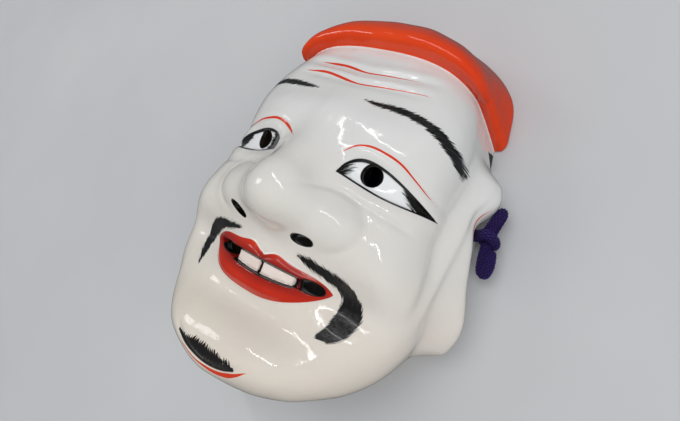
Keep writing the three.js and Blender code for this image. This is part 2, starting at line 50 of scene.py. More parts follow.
# Head
WALL = 4
WIDEST_Z = 42
TOP_Z = 74
FACE_DROP = 16
FACE_DROP_POWER = 1.4
EDGE_ROUNDING = 21
FOREHEAD_START_Y = 48
FOREHEAD_SLOPE = 0.28
FOREHEAD_SOFTNESS = 5
OUTLINE_TERMS = (87, -0.5, 15.5, 5, -2, -1)
RIM_LEAN = 0.09
RIM_LEAN_CHIN = 0.14
EAR_SHARE_INSIDE = 0.35
RIM_ROUNDING = 1.2
EDGE_SOFTNESS = 0.8  # rounding between the outer surface and the hollow
HOLE_SOFTNESS = 0.7
CAP_JOINT_SOFTNESS = 1.2
MIDDLE_SOFTNESS = 0.3  # rounds paired forms off where their two sides meet
FRONT_Z = (25, 45)  # the relief of the face fades in between these heights
FRONT_FROM_Z = 30  # holes and paint of the face are above this height

# Soft forms of the face: x, y, half spread along x and y, height
PAIRED_FORMS = {
    "cheek": (58, -18, 22, 26, 4.5),
    "jaw": (40, -84, 26, 18, 5),
    "brow ridge": (30, 43, 24, 9, 2.5),
    "eye socket": (38, 19, 22, 12, -1.5),
    "upper lid": (33, 31, 19, 8, 2.5),
    "smile hollow": (49, -37, 25, 12, -9),
}
MIDDLE_FORMS = {
    "between the brows": (0, 46, 12, 12, 2),
    "muzzle": (0, -34, 24, 20, -0.5),
    "dip under the lip": (0, -58, 30, 7, -3.5),
}
CHIN = (0, -86, 50, 24, 16.5)
CHIN_POWER = 2.6
CHIN_JUT = dict(x=-6, width=18, from_z=57, to_z=72, from_y=-60, to_y=-80, h=3.6)
RIGHT_TEMPLE = (93, 52, 27, 22, 4.8)
RIGHT_TEMPLE_INNER_X = -30
EYE_BAG = (40, 6, 16, 5, 1)
MOUTH_BACKING = (0, -38, 30, 9, 3)

# Cap
CAP_FRONT = 10.2
CAP_SIDE_TOP = 9.1
CAP_SIDE_RIM = 14.7
CAP_SIDE_TOP_Z = 43.5
CAP_ROUNDING = 20.5
CAP_LIP_ROUNDING = 5
CAP_EDGE_Y = 88.7
CAP_EDGE_BEND = 0.0011
CAP_EDGE_BEND_FAR = 8.6e-7
CAP_EDGE_REACH = 62
CAP_EDGE_REACH_BLEND = 6
CAP_RIM_DROP = 8
CAP_RIM_DROP_Z = 30
CAP_END_TAPER = 4.5
CAP_END_TAPER_RIM = 2.3
CAP_END_LOW = 68
CAP_END_HIGH = 100
CAP_UNDERSIDE_LEAN = 0.595
CAP_UNDERSIDE_SCALE = 1 / math.hypot(1, CAP_UNDERSIDE_LEAN)
CAP_INNER_SETBACK = 3.4
CAP_INNER_ROUNDING = 6
CAP_INNER_BLEND = 4

# Ears
EAR = dict(proud=9.8, front_z=38, front_bend=0.006, front_middle_y=5, low=-46.5, high=50.5, edge=14)
EAR_SLOPE = (-8, 11)
HELIX = (36, 14, 10, 12, 5.8)
LOBE = (-26, 12, 17, 18, 4.5)
CONCHA = (20, 9, 8, 7, 4.5)
EAR_NOTCH = (24, 25, 9, 7, 2.4)
EAR_RIDGE = dict(inset=12, width=5, h=1.9)
EAR_FOLD = dict(line=(38.3, -0.25, -0.0022), width=2.6, h=1.5)
EAR_FOLD_ENDS = ((-38, -12), (40, 52))
EAR_FOLD_FROM_X = (50, 60)
EAR_VALLEY = dict(before=6, width=3, depth=1.2)

# Nose
NOSE_BRIDGE = dict(start=(0, 38, 54), end=(0, 2, 73), start_radius=12.5, end_radius=16)
NOSE_TIP = dict(centre=(0, -4.5, 75), radii=(21, 15, 17), blend=8)
NOSE_ROOT = dict(centre=(0, 6, 59), radii=(28.5, 24, 19), blend=8)
NOSE_WING = dict(centre=(26, -7, 66.5), radii=(18, 12, 11.5), blend=12)
NOSE_BLEND = 9

# Eyes, lips, mouth slot and teeth
LEAF_SLOPE = 0.9  # turns a height within a leaf into a depth
EYE = dict(outer=65, y=15.4, fall=2.6, rise=12.3, dip=2.2, recess=1.3)
EYE_ARCH = dict(skew=0.62, power=0.75, taper=0.22, low_skew=1.2)
LID_ROLL = dict(h=0.6, out=2, width=2.6)
LEFT_EYE_INNER = 20.6
RIGHT_EYE_INNER = 18
LIPS = dict(corner=39.2, y=-35.6, drop=16.8, proud=2, top_power=8, low_power=0.85)
LIP_BOW = dict(h=1.6, peak_x=9, peak_width=6.5, dip_width=4.2)
LEFT_LIP = dict(rise=3.7, power=2)
RIGHT_LIP = dict(rise=4.6, power=3.2)
SLOT = dict(corner=34.5, y=-35.6, rise=0.6, rise_power=6, drop=7, depth=4.8)
SLOT_CURVE = (2.2, 0.8)
LEFT_TOOTH = (1.7, 20.5)
RIGHT_TOOTH = (0.1, 15.8)
TOOTH_PROUD = 2.8
TOOTH_GAP = 0.5

# Creases and wrinkles
WRINKLES = ((62.6, 0.06), (70.6, 0.08))
WRINKLE = dict(depth=0.9, width=2.4, fold=0.7, fold_width=2.8, fold_offset=4.3)
WRINKLE_ENDS = (26, 46)
LID_FOLD = dict(x=28, y=31.6, bend=0.0088, inner_bend=0.012, width=1.8, depth=0.5)
LID_FOLD_ENDS = ((14, 22), (56, 68))
WING_CREASE = dict(x=27, y=-6.5, squash=0.82, radius=17.5, width=2, depth=0.6)
WING_CREASE_ARC = dict(middle=0.7, fade=(-0.7, 0.4))
BAG_CREASE = dict(y=11.4, fall=0.142, width=1.7, depth=1)
BAG_CREASE_ENDS = ((16, 26), (52, 66))
CHIN_CREASE = dict(y=-66, radius=22.5, stretch=1.25, depth=0.9, width=1.8)
CHIN_CREASE_ENDS = dict(across=(14, 32), below=(8, 16))

# Holes
PUPIL = dict(x=34.5, y=20.2, rx=4.8, ry=4.8, tilt=0)
LEFT_NOSTRIL = dict(x=19.9, y=-19.2, rx=5.8, ry=1.9, tilt=0.1)
RIGHT_NOSTRIL = dict(x=23, y=-18.4, rx=6.2, ry=1.5, tilt=0.34)
LEFT_MOUTH_HOLE = dict(x=29.2, y=-37, rx=6.8, ry=2.7, tilt=0.1)
RIGHT_MOUTH_HOLE = dict(x=24.4, y=-37.6, rx=6.4, ry=2.5, tilt=0.1)
CORD_HOLE = dict(y=19, z=9, radius=4.5, from_x=50)
NOSE_UNDERSIDE_Z = 84

# The hand-made surface undulates a little: waves of these lengths and heights
WAVES = ((33, 0.13), (23, 0.09), (15, 0.05), (9, 0.022))
WAVES_OF_EACH = 3
WAVE_SPREAD = 1.7  # the sum of a few waves is divided by this
HAND_INSET = 0.4

# The mesh: its step, the box that it is made in, how it settles on the surface, and the share
# of its faces that the hidden inside keeps
NET_STEP = 1.05
NET_SPAN = ((-95, 95), (-101, 127), (-2.5, 98))
SETTLING_ROUNDS = 3
SETTLING_LIMIT = 0.6 * NET_STEP
LEAST_SLOPE_SQUARED = 0.3
SLOPE_REACH = 0.15
NORMAL_REACH = 0.3
INSIDE_REACH = 0.6
BARE_RIM_Z = 0.4  # below this the rim shows bare paper
INNER_SHARE = 0.12

# Cord
CORD_DIAMETER = 6.5
LOW_Z = CORD_DIAMETER / 2 + 0.2
CORD_END_X = 72.7
CORD_ROUTE = (
    (CORD_END_X, 19, 9), (66, 19, 8.95), (59.5, 18.6, 8.2), (53.5, 16, 6.6), (49, 11, 5),
    (46.4, 3.5, 3.8), (45.3, -7, LOW_Z), (45, -22, LOW_Z), (45, -38, LOW_Z),
    (39.3, -51.8, LOW_Z), (25.5, -57.5, LOW_Z), (11.7, -51.8, LOW_Z), (6, -38, LOW_Z),
    (5, -20, LOW_Z), (3.5, 0, LOW_Z), (1, 20, LOW_Z), (-0.5, 40, LOW_Z), (-1, 54, LOW_Z),
    (-1, 66, LOW_Z), (-6.7, 79.8, LOW_Z), (-20.5, 85.5, LOW_Z), (-34.3, 79.8, LOW_Z),
    (-40, 66, LOW_Z), (-40.3, 52, LOW_Z), (-41.2, 41, LOW_Z), (-44.4, 31, 3.9),
    (-50, 23.8, 5.6), (-56.5, 20, 7.5), (-63, 19, 8.7), (-CORD_END_X, 19, 9),
)
STRANDS = 10
BRAID_PITCH = 2.3
BRAID_RELIEF = 0.33
PILLOW_POWER = 0.45
TUBE_SIDES = 50
CORD_STEP = 0.46
KNOT_STEP = 0.36
KNOT_STRAND_RADIUS = 2.8
CURVE_STEPS = 24  # fine steps of a curve between two points of its route

# The knot outside the left ear hole, in one run: out of the hole, round itself, up to the bight,
# back down through the wrap and out to the tail
KNOT_ROUTE = (
    (72.9, 19, 9), (74.4, 19.8, 12.8), (76.8, 20.6, 14.6), (79.9, 20.4, 13.8), (81.7, 19.2, 10),
    (81, 18, 5.8), (78.4, 17.6, 3.8), (75.8, 18, 5.4), (74.9, 19.8, 8.8), (76.8, 22.6, 11.4),
    (77.9, 26.4, 12.2), (78.9, 30.6, 12.2), (79.5, 34, 10.6), (79.3, 33.6, 7.6),
    (78.4, 28.8, 6.4), (77.8, 24, 6.6), (77.9, 18.5, 8), (78.5, 13.5, 9), (79.3, 8.2, 8.6),
    (80.6, 3.4, 7.6), (82.6, 2.6, 8), (83.6, 6, 9), (83, 10.6, 9.8), (81.6, 15, 9.6),
)

# Camera: the photo's view of the mask, from the mask's own axes
PHOTO_WIDTH = 680
FOCAL_PIXELS = 480
SENSOR = 36
CAMERA_PLACE = (144.76, -13.41, 249.55)
CAMERA_RIGHT = (0.77889, 0.41778, -0.46776)
CAMERA_UP = (-0.32175, 0.90638, 0.27377)
CAMERA_BACK = (0.53835, -0.06273, 0.84039)


def smooth_step(low, high, value):
    t = np.clip((value - low) / (high - low), 0, 1)
    return t * t * (3 - 2 * t)


def smooth_max(a, b, blend):
    h = np.clip(0.5 + 0.5 * (a - b) / blend, 0, 1)
    return b * (1 - h) + a * h + blend * h * (1 - h)


def smooth_min(a, b, blend):
    return -smooth_max(-a, -b, blend)


def from_middle(x):
    return np.sqrt(x * x + MIDDLE_SOFTNESS)


def between(value, rising, falling):
    """1 between two places, fading in over one range and out over the other."""
    return smooth_step(*rising, value) * (1 - smooth_step(*falling, value))


def bell(distance, width):
    return np.exp(-((distance / width) ** 2))


def form(f, x, y, power=2):
    """A soft bump from its place, half spread and height."""
    across = np.abs((x - f[0]) / f[2]) ** power
    along = np.abs((y - f[1]) / f[3]) ** power
    return f[4] * np.exp(-across - along)


def ellipsoid(x, y, z, part):
    px, py, pz = ((v - c) / r for v, c, r in zip((x, y, z), part["centre"], part["radii"]))
    rx, ry, rz = part["radii"]
    size = np.sqrt(px * px + py * py + pz * pz) + 1e-9
    slope = np.sqrt((px / rx) ** 2 + (py / ry) ** 2 + (pz / rz) ** 2) + 1e-9
    return size * (size - 1) / slope


def bridge(x, y, z):
    """Distance outside the nose's bridge, a rod that widens to the tip."""
    a, b = np.array(NOSE_BRIDGE["start"], float), np.array(NOSE_BRIDGE["end"], float)
    ab = b - a
    px, py, pz = x - a[0], y - a[1], z - a[2]
    t = np.clip((px * ab[0] + py * ab[1] + pz * ab[2]) / (ab @ ab), 0, 1)
    gap = np.sqrt((px - t * ab[0]) ** 2 + (py - t * ab[1]) ** 2 + (pz - t * ab[2]) ** 2)
    radii = NOSE_BRIDGE["start_radius"], NOSE_BRIDGE["end_radius"]
    return gap - (radii[0] + (radii[1] - radii[0]) * t)


def nose_field(x, y, z):
    ax = from_middle(x)
    nose = smooth_min(bridge(x, y, z), ellipsoid(x, y, z, NOSE_TIP), NOSE_TIP["blend"])
    nose = smooth_min(nose, ellipsoid(x, y, z, NOSE_ROOT), NOSE_ROOT["blend"])
    return smooth_min(nose, ellipsoid(ax, y, z, NOSE_WING), NOSE_WING["blend"])


def outline_radius(angle):
    return sum(term * np.cos(n * angle) for n, term in enumerate(OUTLINE_TERMS))


def side_form(f, y, z):
    return f[4] * bell(y - f[0], f[2]) * bell(z - f[1], f[3])


def ear_front(y):
    return EAR["front_z"] - EAR["front_bend"] * (y - EAR["front_middle_y"]) ** 2


def ear_relief(y, z):
    """How far the ear stands proud of the head's wall."""
    front = ear_front(y)
    half = EAR["edge"] / 2
    low_end = smooth_step(EAR["low"] - half, EAR["low"] + half, y)
    high_end = 1 - smooth_step(EAR["high"] - half, EAR["high"] + half, y)
    patch = smooth_step(*EAR_SLOPE, front - z) * low_end * high_end
    ridge = EAR_RIDGE["h"] * bell(z - front + EAR_RIDGE["inset"], EAR_RIDGE["width"])
    raised = side_form(HELIX, y, z) + side_form(LOBE, y, z)
    sunk = side_form(CONCHA, y, z) + side_form(EAR_NOTCH, y, z)
    return patch * (EAR["proud"] + ridge + raised - sunk)


def ear_folds(ax, y, z):
    """The narrow fold along the ear's front, and the valley that parts it from the face."""
    from_fold = z - sum(term * y**n for n, term in enumerate(EAR_FOLD["line"]))
    fold = EAR_FOLD["h"] * bell(from_fold, EAR_FOLD["width"])
    valley = EAR_VALLEY["depth"] * bell(from_fold - EAR_VALLEY["before"], EAR_VALLEY["width"])
    return between(y, *EAR_FOLD_ENDS) * smooth_step(*EAR_FOLD_FROM_X, ax) * (fold - valley)


def cap_edge(ax, z):
    """Where the cap's edge crosses the head, as a place along y."""
    across = smooth_min(ax, CAP_EDGE_REACH, CAP_EDGE_REACH_BLEND)
    drop = CAP_RIM_DROP * np.clip(1 - z / CAP_RIM_DROP_Z, 0, 1)
    return CAP_EDGE_Y - CAP_EDGE_BEND * across**2 - CAP_EDGE_BEND_FAR * across**4 - drop


def head_and_cap(x, y, z, ear_share):
    """The head without nose and mouth, and the cap. Negative is inside."""
    ax = from_middle(x)
    reach = np.hypot(x, y) + 1e-6
    angle = np.arctan2(ax, y)
    radius = outline_radius(angle)
    height = TOP_Z - FACE_DROP * (reach / radius) ** FACE_DROP_POWER
    above_brows = np.logaddexp(0, (y - FOREHEAD_START_Y) / FOREHEAD_SOFTNESS)
    height = height - FOREHEAD_SLOPE * FOREHEAD_SOFTNESS * above_brows
    for f in PAIRED_FORMS.values():
        height = height + form(f, ax, y)
    for f in MIDDLE_FORMS.values():
        height = height + form(f, x, y)
    height = height + form(CHIN, x, y, CHIN_POWER)
    below = np.maximum(0, WIDEST_Z - z) / WIDEST_Z
    lean = RIM_LEAN - RIM_LEAN_CHIN * np.cos(angle)
    jut = bell(x - CHIN_JUT["x"], CHIN_JUT["width"])
    jut = jut * smooth_step(CHIN_JUT["from_y"], CHIN_JUT["to_y"], y)
    chin = CHIN_JUT["h"] * jut * smooth_step(CHIN_JUT["from_z"], CHIN_JUT["to_z"], z)
    temple = side_form(RIGHT_TEMPLE, y, z) * smooth_step(0, RIGHT_TEMPLE_INNER_X, x)
    wall = reach - radius * (1 - lean * below**2) - chin - temple
    head = smooth_max(z - height, wall - ear_share * ear_relief(y, z), EDGE_ROUNDING)
    lowness = np.clip(1 - z / CAP_SIDE_TOP_Z, 0, 1)
    taper = CAP_END_TAPER + CAP_END_TAPER_RIM * lowness
    side = CAP_SIDE_TOP + (CAP_SIDE_RIM - CAP_SIDE_TOP) * lowness
    side = side - taper * (1 - smooth_step(CAP_END_LOW, CAP_END_HIGH, y))
    cap = smooth_max(z - height - CAP_FRONT, wall - side, CAP_ROUNDING)
    underside = CAP_UNDERSIDE_SCALE * (cap_edge(ax, z) - y + CAP_UNDERSIDE_LEAN * head)
    return head, cap, underside


def leaf(ax, y, low, high, start, end):
    """Depth inside a leaf between two lines, from start to end. Positive is inside."""
    depth = np.minimum(high - y, y - low) * LEAF_SLOPE
    beyond = np.maximum(np.maximum(start - ax, ax - end), 0)
    return np.where(beyond > 0, -np.hypot(beyond, np.minimum(depth, 0)), depth)


def eye_lines(x, ax):
    """The lower and upper lid at a place across, and the share of the way to the outer corner."""
    inner = np.where(x > 0, LEFT_EYE_INNER, RIGHT_EYE_INNER)
    t = np.clip((ax - inner) / (EYE["outer"] - inner), 0, 0.9999)
    chord = EYE["y"] - EYE["fall"] * t
    arch = np.sin(np.pi * t ** EYE_ARCH["skew"]) ** EYE_ARCH["power"]
    high = chord + EYE["rise"] * arch * (1 - EYE_ARCH["taper"] * t)
    low = chord - EYE["dip"] * np.sin(np.pi * t ** EYE_ARCH["low_skew"])
    return low, high, t


def lip_lines(x, ax):
    s = np.clip(ax / LIPS["corner"], 0, 1)
    rise, power = (np.where(x > 0, LEFT_LIP[key], RIGHT_LIP[key]) for key in ("rise", "power"))
    peak = LIP_BOW["h"] * bell(ax - LIP_BOW["peak_x"], LIP_BOW["peak_width"])
    bow = peak - LIP_BOW["h"] * bell(ax, LIP_BOW["dip_width"])
    high = LIPS["y"] + rise * (1 - s ** LIPS["top_power"]) + bow
    low = LIPS["y"] - LIPS["drop"] * (1 - s**power) ** LIPS["low_power"]
    return low, high


def slot_lines(ax):
    s = np.clip(ax / SLOT["corner"], 0, 1)
    high = SLOT["y"] + SLOT["rise"] * s ** SLOT["rise_power"]
    low = SLOT["y"] - SLOT["drop"] * (1 - s ** SLOT_CURVE[0]) ** SLOT_CURVE[1]
    return low, high


def eye_depth(x, ax, y):
    low, high, _ = eye_lines(x, ax)
    return leaf(ax, y, low, high, np.where(x > 0, LEFT_EYE_INNER, RIGHT_EYE_INNER), EYE["outer"])


def lip_depth(x, ax, y):
    return leaf(ax, y, *lip_lines(x, ax), -1, LIPS["corner"])


def slot_depth(ax, y):
    return leaf(ax, y, *slot_lines(ax), -1, SLOT["corner"])


def tooth_depth(x, ax, y):
    low, high = slot_lines(ax)
    left, right = (np.minimum(ax - inner, outer - ax) for inner, outer in (LEFT_TOOTH, RIGHT_TOOTH))
    across = np.where(x > 0, left, right)
    return np.minimum(across, np.minimum(high - TOOTH_GAP - y, y - low - TOOTH_GAP))


def skin_and_cap(x, y, z):
    """The painted outer surface: skin with all its relief, and the cap. Negative is inside."""
    ax = from_middle(x)
    head, cap, underside = head_and_cap(x, y, z, 1)
    head = head - ear_folds(ax, y, z)
    front = smooth_step(*FRONT_Z, z)
    eye = eye_depth(x, ax, y)
    relief = EYE["recess"] * smooth_step(-0.3, 1.8, eye)
    roll = LID_ROLL["h"] * bell(eye + LID_ROLL["out"], LID_ROLL["width"])
    relief = relief - roll - form(EYE_BAG, ax, y)
    inner = np.maximum(0, LID_FOLD["x"] - ax)
    fold = y - LID_FOLD["y"] + LID_FOLD["bend"] * (ax - LID_FOLD["x"]) ** 2
    fold = fold + LID_FOLD["inner_bend"] * inner**2
    fold_mask = between(ax, *LID_FOLD_ENDS)
    relief = relief + fold_mask * LID_FOLD["depth"] * bell(fold, LID_FOLD["width"])
    bag = y - BAG_CREASE["y"] + BAG_CREASE["fall"] * ax
    bag_mask = between(ax, *BAG_CREASE_ENDS)
    relief = relief + bag_mask * BAG_CREASE["depth"] * bell(bag, BAG_CREASE["width"])
    wrinkle_mask = 1 - smooth_step(*WRINKLE_ENDS, ax)
    for line_y, rise in WRINKLES:
        across = y - line_y - rise * ax
        groove = WRINKLE["depth"] * bell(across, WRINKLE["width"])
        raised = WRINKLE["fold"] * bell(across - WRINKLE["fold_offset"], WRINKLE["fold_width"])
        relief = relief + wrinkle_mask * (groove - raised)
    skin = smooth_min(head + front * relief, nose_field(x, y, z), NOSE_BLEND)
    wing_x, wing_y = ax - WING_CREASE["x"], y - WING_CREASE["y"]
    wing = np.hypot(wing_x, wing_y / WING_CREASE["squash"]) - WING_CREASE["radius"]
    turn = np.arctan2(wing_y, wing_x) - WING_CREASE_ARC["middle"]
    outer_part = smooth_step(*WING_CREASE_ARC["fade"], np.cos(turn))
    relief = WING_CREASE["depth"] * outer_part * bell(wing, WING_CREASE["width"])
    lip, slot, tooth = lip_depth(x, ax, y), slot_depth(ax, y), tooth_depth(x, ax, y)
    relief = relief - LIPS["proud"] * smooth_step(-1, 3, lip)
    in_slot = smooth_step(-0.5, 1.2, slot)
    relief = relief + in_slot * (SLOT["depth"] - TOOTH_PROUD * smooth_step(-0.4, 0.9, tooth))
    crease = np.hypot(x / CHIN_CREASE["stretch"], y - CHIN_CREASE["y"]) - CHIN_CREASE["radius"]
    crease_mask = 1 - smooth_step(*CHIN_CREASE_ENDS["across"], ax)
    crease_mask = crease_mask * smooth_step(*CHIN_CREASE_ENDS["below"], CHIN_CREASE["y"] - y)
    relief = relief + crease_mask * CHIN_CREASE["depth"] * bell(crease, CHIN_CREASE["width"])
    return skin + front * relief, smooth_max(cap, underside, CAP_LIP_ROUNDING)


def inner_field(x, y, z):
    """The back of the shell, as the form that is taken away. Negative is in the hollow."""
    head, cap, underside = head_and_cap(x, y, z, EAR_SHARE_INSIDE)
    underside = underside + CAP_UNDERSIDE_SCALE * CAP_INNER_SETBACK
    field = smooth_min(head, nose_field(x, y, z), NOSE_BLEND)
    field = smooth_min(field, smooth_max(cap, underside, CAP_INNER_ROUNDING), CAP_INNER_BLEND)
    return field + WALL + form(MOUTH_BACKING, x, y)


def oval(hole, ax, y):
    """Distance outside an oval hole through the face."""
    c, s = math.cos(hole["tilt"]), math.sin(hole["tilt"])
    dx, dy = ax - hole["x"], y - hole["y"]
    u, v = c * dx + s * dy, c * dy - s * dx
    size = np.sqrt((u / hole["rx"]) ** 2 + (v / hole["ry"]) ** 2) + 1e-6
    slope = np.sqrt((u / hole["rx"] ** 2) ** 2 + (v / hole["ry"] ** 2) ** 2) + 1e-6
    return size * (size - 1) / slope


def hole_distance(x, ax, y, z):
    """Distance outside the nearest pupil, nostril or mouth hole."""
    nostril = np.where(x > 0, oval(LEFT_NOSTRIL, ax, y), oval(RIGHT_NOSTRIL, ax, y))
    nostril = np.maximum(nostril, z - NOSE_UNDERSIDE_Z)
    mouth_hole = np.where(x > 0, oval(LEFT_MOUTH_HOLE, ax, y), oval(RIGHT_MOUTH_HOLE, ax, y))
    holes = np.minimum(np.minimum(oval(PUPIL, ax, y), mouth_hole), nostril)
    return np.maximum(holes, FRONT_FROM_Z - z)


def cord_hole_distance(ax, y, z):
    across = np.hypot(y - CORD_HOLE["y"], z - CORD_HOLE["z"]) - CORD_HOLE["radius"]
    return np.maximum(across, CORD_HOLE["from_x"] - ax)


def waves(x, y, z):
    """The slow unevenness of a surface made and polished by hand."""
    chance = np.random.default_rng(11)
    total = 0
    for length, height in WAVES:
        for _ in range(WAVES_OF_EACH):
            turn = chance.normal(size=3)
            turn *= 2 * math.pi / length / np.linalg.norm(turn)
            phase = chance.uniform(0, 2 * math.pi)
            swing = np.sin(turn[0] * x + turn[1] * y + turn[2] * z + phase)
            total = total + height / WAVE_SPREAD * swing
    return total


def shell_parts(x, y, z, hand_made):
    """The outer surface, the hollow and the holes, each negative inside."""
    ax = from_middle(x)
    skin, cap = skin_and_cap(x, y, z)
    outer = smooth_min(skin, cap, CAP_JOINT_SOFTNESS)
    if hand_made:
        outer = outer + HAND_INSET + waves(x, y, z)
    holes = np.minimum(hole_distance(x, ax, y, z), cord_hole_distance(ax, y, z))
    return outer, inner_field(x, y, z), holes


def shell_field(x, y, z, hand_made=False):
    """The whole shell. Negative is inside the papier-mache."""
    outer, hollow, holes = shell_parts(x, y, z, hand_made)
    walls = smooth_max(outer, -hollow, EDGE_SOFTNESS)
    walls = smooth_max(walls, -holes, HOLE_SOFTNESS)
    return smooth_max(walls, -z, RIM_ROUNDING) + 0.0


def hand_made_field(x, y, z):
    return shell_field(x, y, z, True)


def faces_hollow(points):
    """Which points lie on the shell's back."""
    outer, hollow, _ = shell_parts(*points.T, True)
    return (hollow < INSIDE_REACH) & (np.abs(hollow) < np.abs(outer))


def gradient(field, points, reach):
    """The field's slope at each point, measured over a reach to both sides."""
    slope = np.empty_like(points)
    for axis in range(3):
        step = np.zeros(3)
        step[axis] = reach
        slope[:, axis] = (field(*(points + step).T) - field(*(points - step).T)) / (2 * reach)
    return slope


def surface_net(values, lows, step):
    """Vertices and quads of the zero surface of a grid of values, one vertex in each cell."""
    cells = np.array(values.shape) - 1
    sums = np.zeros((cells.prod(), 3))
    counts = np.zeros(cells.prod())
    edges = []
    for axis in range(3):
        first = np.take(values, np.arange(values.shape[axis] - 1), axis)
        second = np.take(values, np.arange(1, values.shape[axis]), axis)
        at = np.argwhere((first < 0) != (second < 0))
        a, b = first[tuple(at.T)], second[tuple(at.T)]
        place = at.astype(float)
        place[:, axis] += a / (a - b)
        u, v = (axis + 1) % 3, (axis + 2) % 3
        corners = []
        whole = np.ones(len(at), bool)
        for du, dv in ((1, 1), (0, 1), (0, 0), (1, 0)):
            cell = at.copy()
            cell[:, u] -= du
            cell[:, v] -= dv
            whole &= (cell >= 0).all(1) & (cell < cells).all(1)
            corners.append(cell)
        flat = [np.ravel_multi_index(c[whole].T, cells) for c in corners]
        for index in flat:
            counts += np.bincount(index, minlength=len(counts))
            for k in range(3):
                sums[:, k] += np.bincount(index, place[whole, k], minlength=len(counts))
        quads = np.stack(flat, 1)
        outward = a[whole] < 0
        edges.append(np.where(outward[:, None], quads, quads[:, ::-1]))
    used = counts > 0
    number = np.cumsum(used) - 1
    points = sums[used] / counts[used][:, None] * step + np.array(lows)
    return points, number[np.concatenate(edges)]


def to_frame(points):
    """From the mask's own axes in mm to the frame in metres."""
    return (np.asarray(points, float) + np.array([0, SHIFT_Y, 0])) * MM


SHIFT_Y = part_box("mask_shell")[0].y / MM + float(outline_radius(math.pi))


def new_mesh(name, points, faces):
    """A smooth mesh object in the frame, from points in metres."""
    mesh = bpy.data.meshes.new(name)
    mesh.from_pydata(points, [], faces)
    mesh.polygons.foreach_set("use_smooth", np.ones(len(faces), bool))
    mesh.update()
    piece = bpy.data.objects.new(name, mesh)
    bpy.context.scene.collection.objects.link(piece)
    return piece


def glide(a, b, start, end, t):
    """From a to b while t runs from start to end."""
    return ((end - t) * a + (t - start) * b) / (end - start)


def spline(route, step):
    """Evenly spaced points on a centripetal Catmull-Rom curve through the route."""
    points = np.array(route, float)
    ends = 2 * points[0] - points[1], 2 * points[-1] - points[-2]
    p = np.vstack([ends[0], points, ends[1]])
    fine = []
    for n in range(1, len(p) - 2):
        gaps = [max(np.linalg.norm(p[n + k] - p[n + k - 1]) ** 0.5, 1e-6) for k in range(3)]
        t0, t1, t2, t3 = np.cumsum([0, *gaps])
        t = np.linspace(t1, t2, CURVE_STEPS, endpoint=False)[:, None]
        a1 = glide(p[n - 1], p[n], t0, t1, t)
        a2 = glide(p[n], p[n + 1], t1, t2, t)
        a3 = glide(p[n + 1], p[n + 2], t2, t3, t)
        fine.append(glide(glide(a1, a2, t0, t2, t), glide(a2, a3, t1, t3, t), t1, t2, t))
    fine = np.vstack([*fine, points[-1]])
    along = np.concatenate([[0], np.cumsum(np.linalg.norm(np.diff(fine, axis=0), axis=1))])
    count = max(2, round(along[-1] / step) + 1)
    even = np.linspace(0, along[-1], count)
    return np.stack([np.interp(even, along, fine[:, k]) for k in range(3)], 1), along[-1]


def braided_tube(name, route, radius, step, round_end=False):
    """A round braid along a route: each diamond of the weave is a small pillow."""
    line, length = spline(route, step)
    tangents = np.gradient(line, axis=0)
    tangents /= np.linalg.norm(tangents, axis=1)[:, None]
    normal = np.cross(tangents[0], (0, 0, 1))
    normals = []
    for tangent in tangents:
        normal = normal - tangent * (normal @ tangent)
        normal = normal / np.linalg.norm(normal)
        normals.append(normal)
    normals = np.array(normals)
    sideways = np.cross(tangents, normals)
    along = np.linspace(0, length, len(line))[:, None]
    turn = np.linspace(0, 2 * math.pi, TUBE_SIDES, endpoint=False)[None, :]
    p = STRANDS * turn / (2 * math.pi) + along / BRAID_PITCH
    q = STRANDS * turn / (2 * math.pi) - along / BRAID_PITCH
    pillow = (np.abs(np.sin(math.pi * p)) * np.abs(np.sin(math.pi * q))) ** PILLOW_POWER
    size = radius * (1 - BRAID_RELIEF * (1 - pillow))
    if round_end:
        from_end = (length - along) / radius
        size = size * np.sqrt(np.clip(1 - np.clip(1 - from_end, 0, 1) ** 2, 0.02, 1))
    rings = line[:, None] + size[..., None] * (
        np.cos(turn)[..., None] * normals[:, None] + np.sin(turn)[..., None] * sideways[:, None]
    )
    faces = []
    for ring in range(0, (len(line) - 1) * TUBE_SIDES, TUBE_SIDES):
        for j in range(TUBE_SIDES):
            k = (j + 1) % TUBE_SIDES
            faces.append((ring + j, ring + k, ring + TUBE_SIDES + k, ring + TUBE_SIDES + j))
    last_ring = (len(line) - 1) * TUBE_SIDES
    faces.append(tuple(range(TUBE_SIDES))[::-1])
    faces.append(tuple(range(last_ring, last_ring + TUBE_SIDES)))
    piece = new_mesh(name, to_frame(rings.reshape(-1, 3)), faces)
    weave = np.stack([p.ravel(), q.ravel(), np.broadcast_to(along, p.shape).ravel()], 1)
    add_vectors(piece, "weave", weave)
    return piece, line


def add_vectors(piece, name, values):
    """A vector for each vertex, which the materials read by name."""
    layer = piece.data.attributes.new(name, "FLOAT_VECTOR", "POINT")
    layer.data.foreach_set("vector", values.astype(np.float32).ravel())


def make_camera():
    """The camera of the photo."""
    data = bpy.data.cameras.new("camera")
    data.sensor_width = SENSOR
    data.lens = SENSOR * FOCAL_PIXELS / PHOTO_WIDTH
    data.clip_start = 0.01
    camera = bpy.data.objects.new("camera", data)
    turn = Matrix((CAMERA_RIGHT, CAMERA_UP, CAMERA_BACK)).transposed()
    camera.matrix_world = Matrix.Translation(to_frame(CAMERA_PLACE)) @ turn.to_4x4()
    bpy.context.scene.collection.objects.link(camera)
    bpy.context.scene.camera = camera


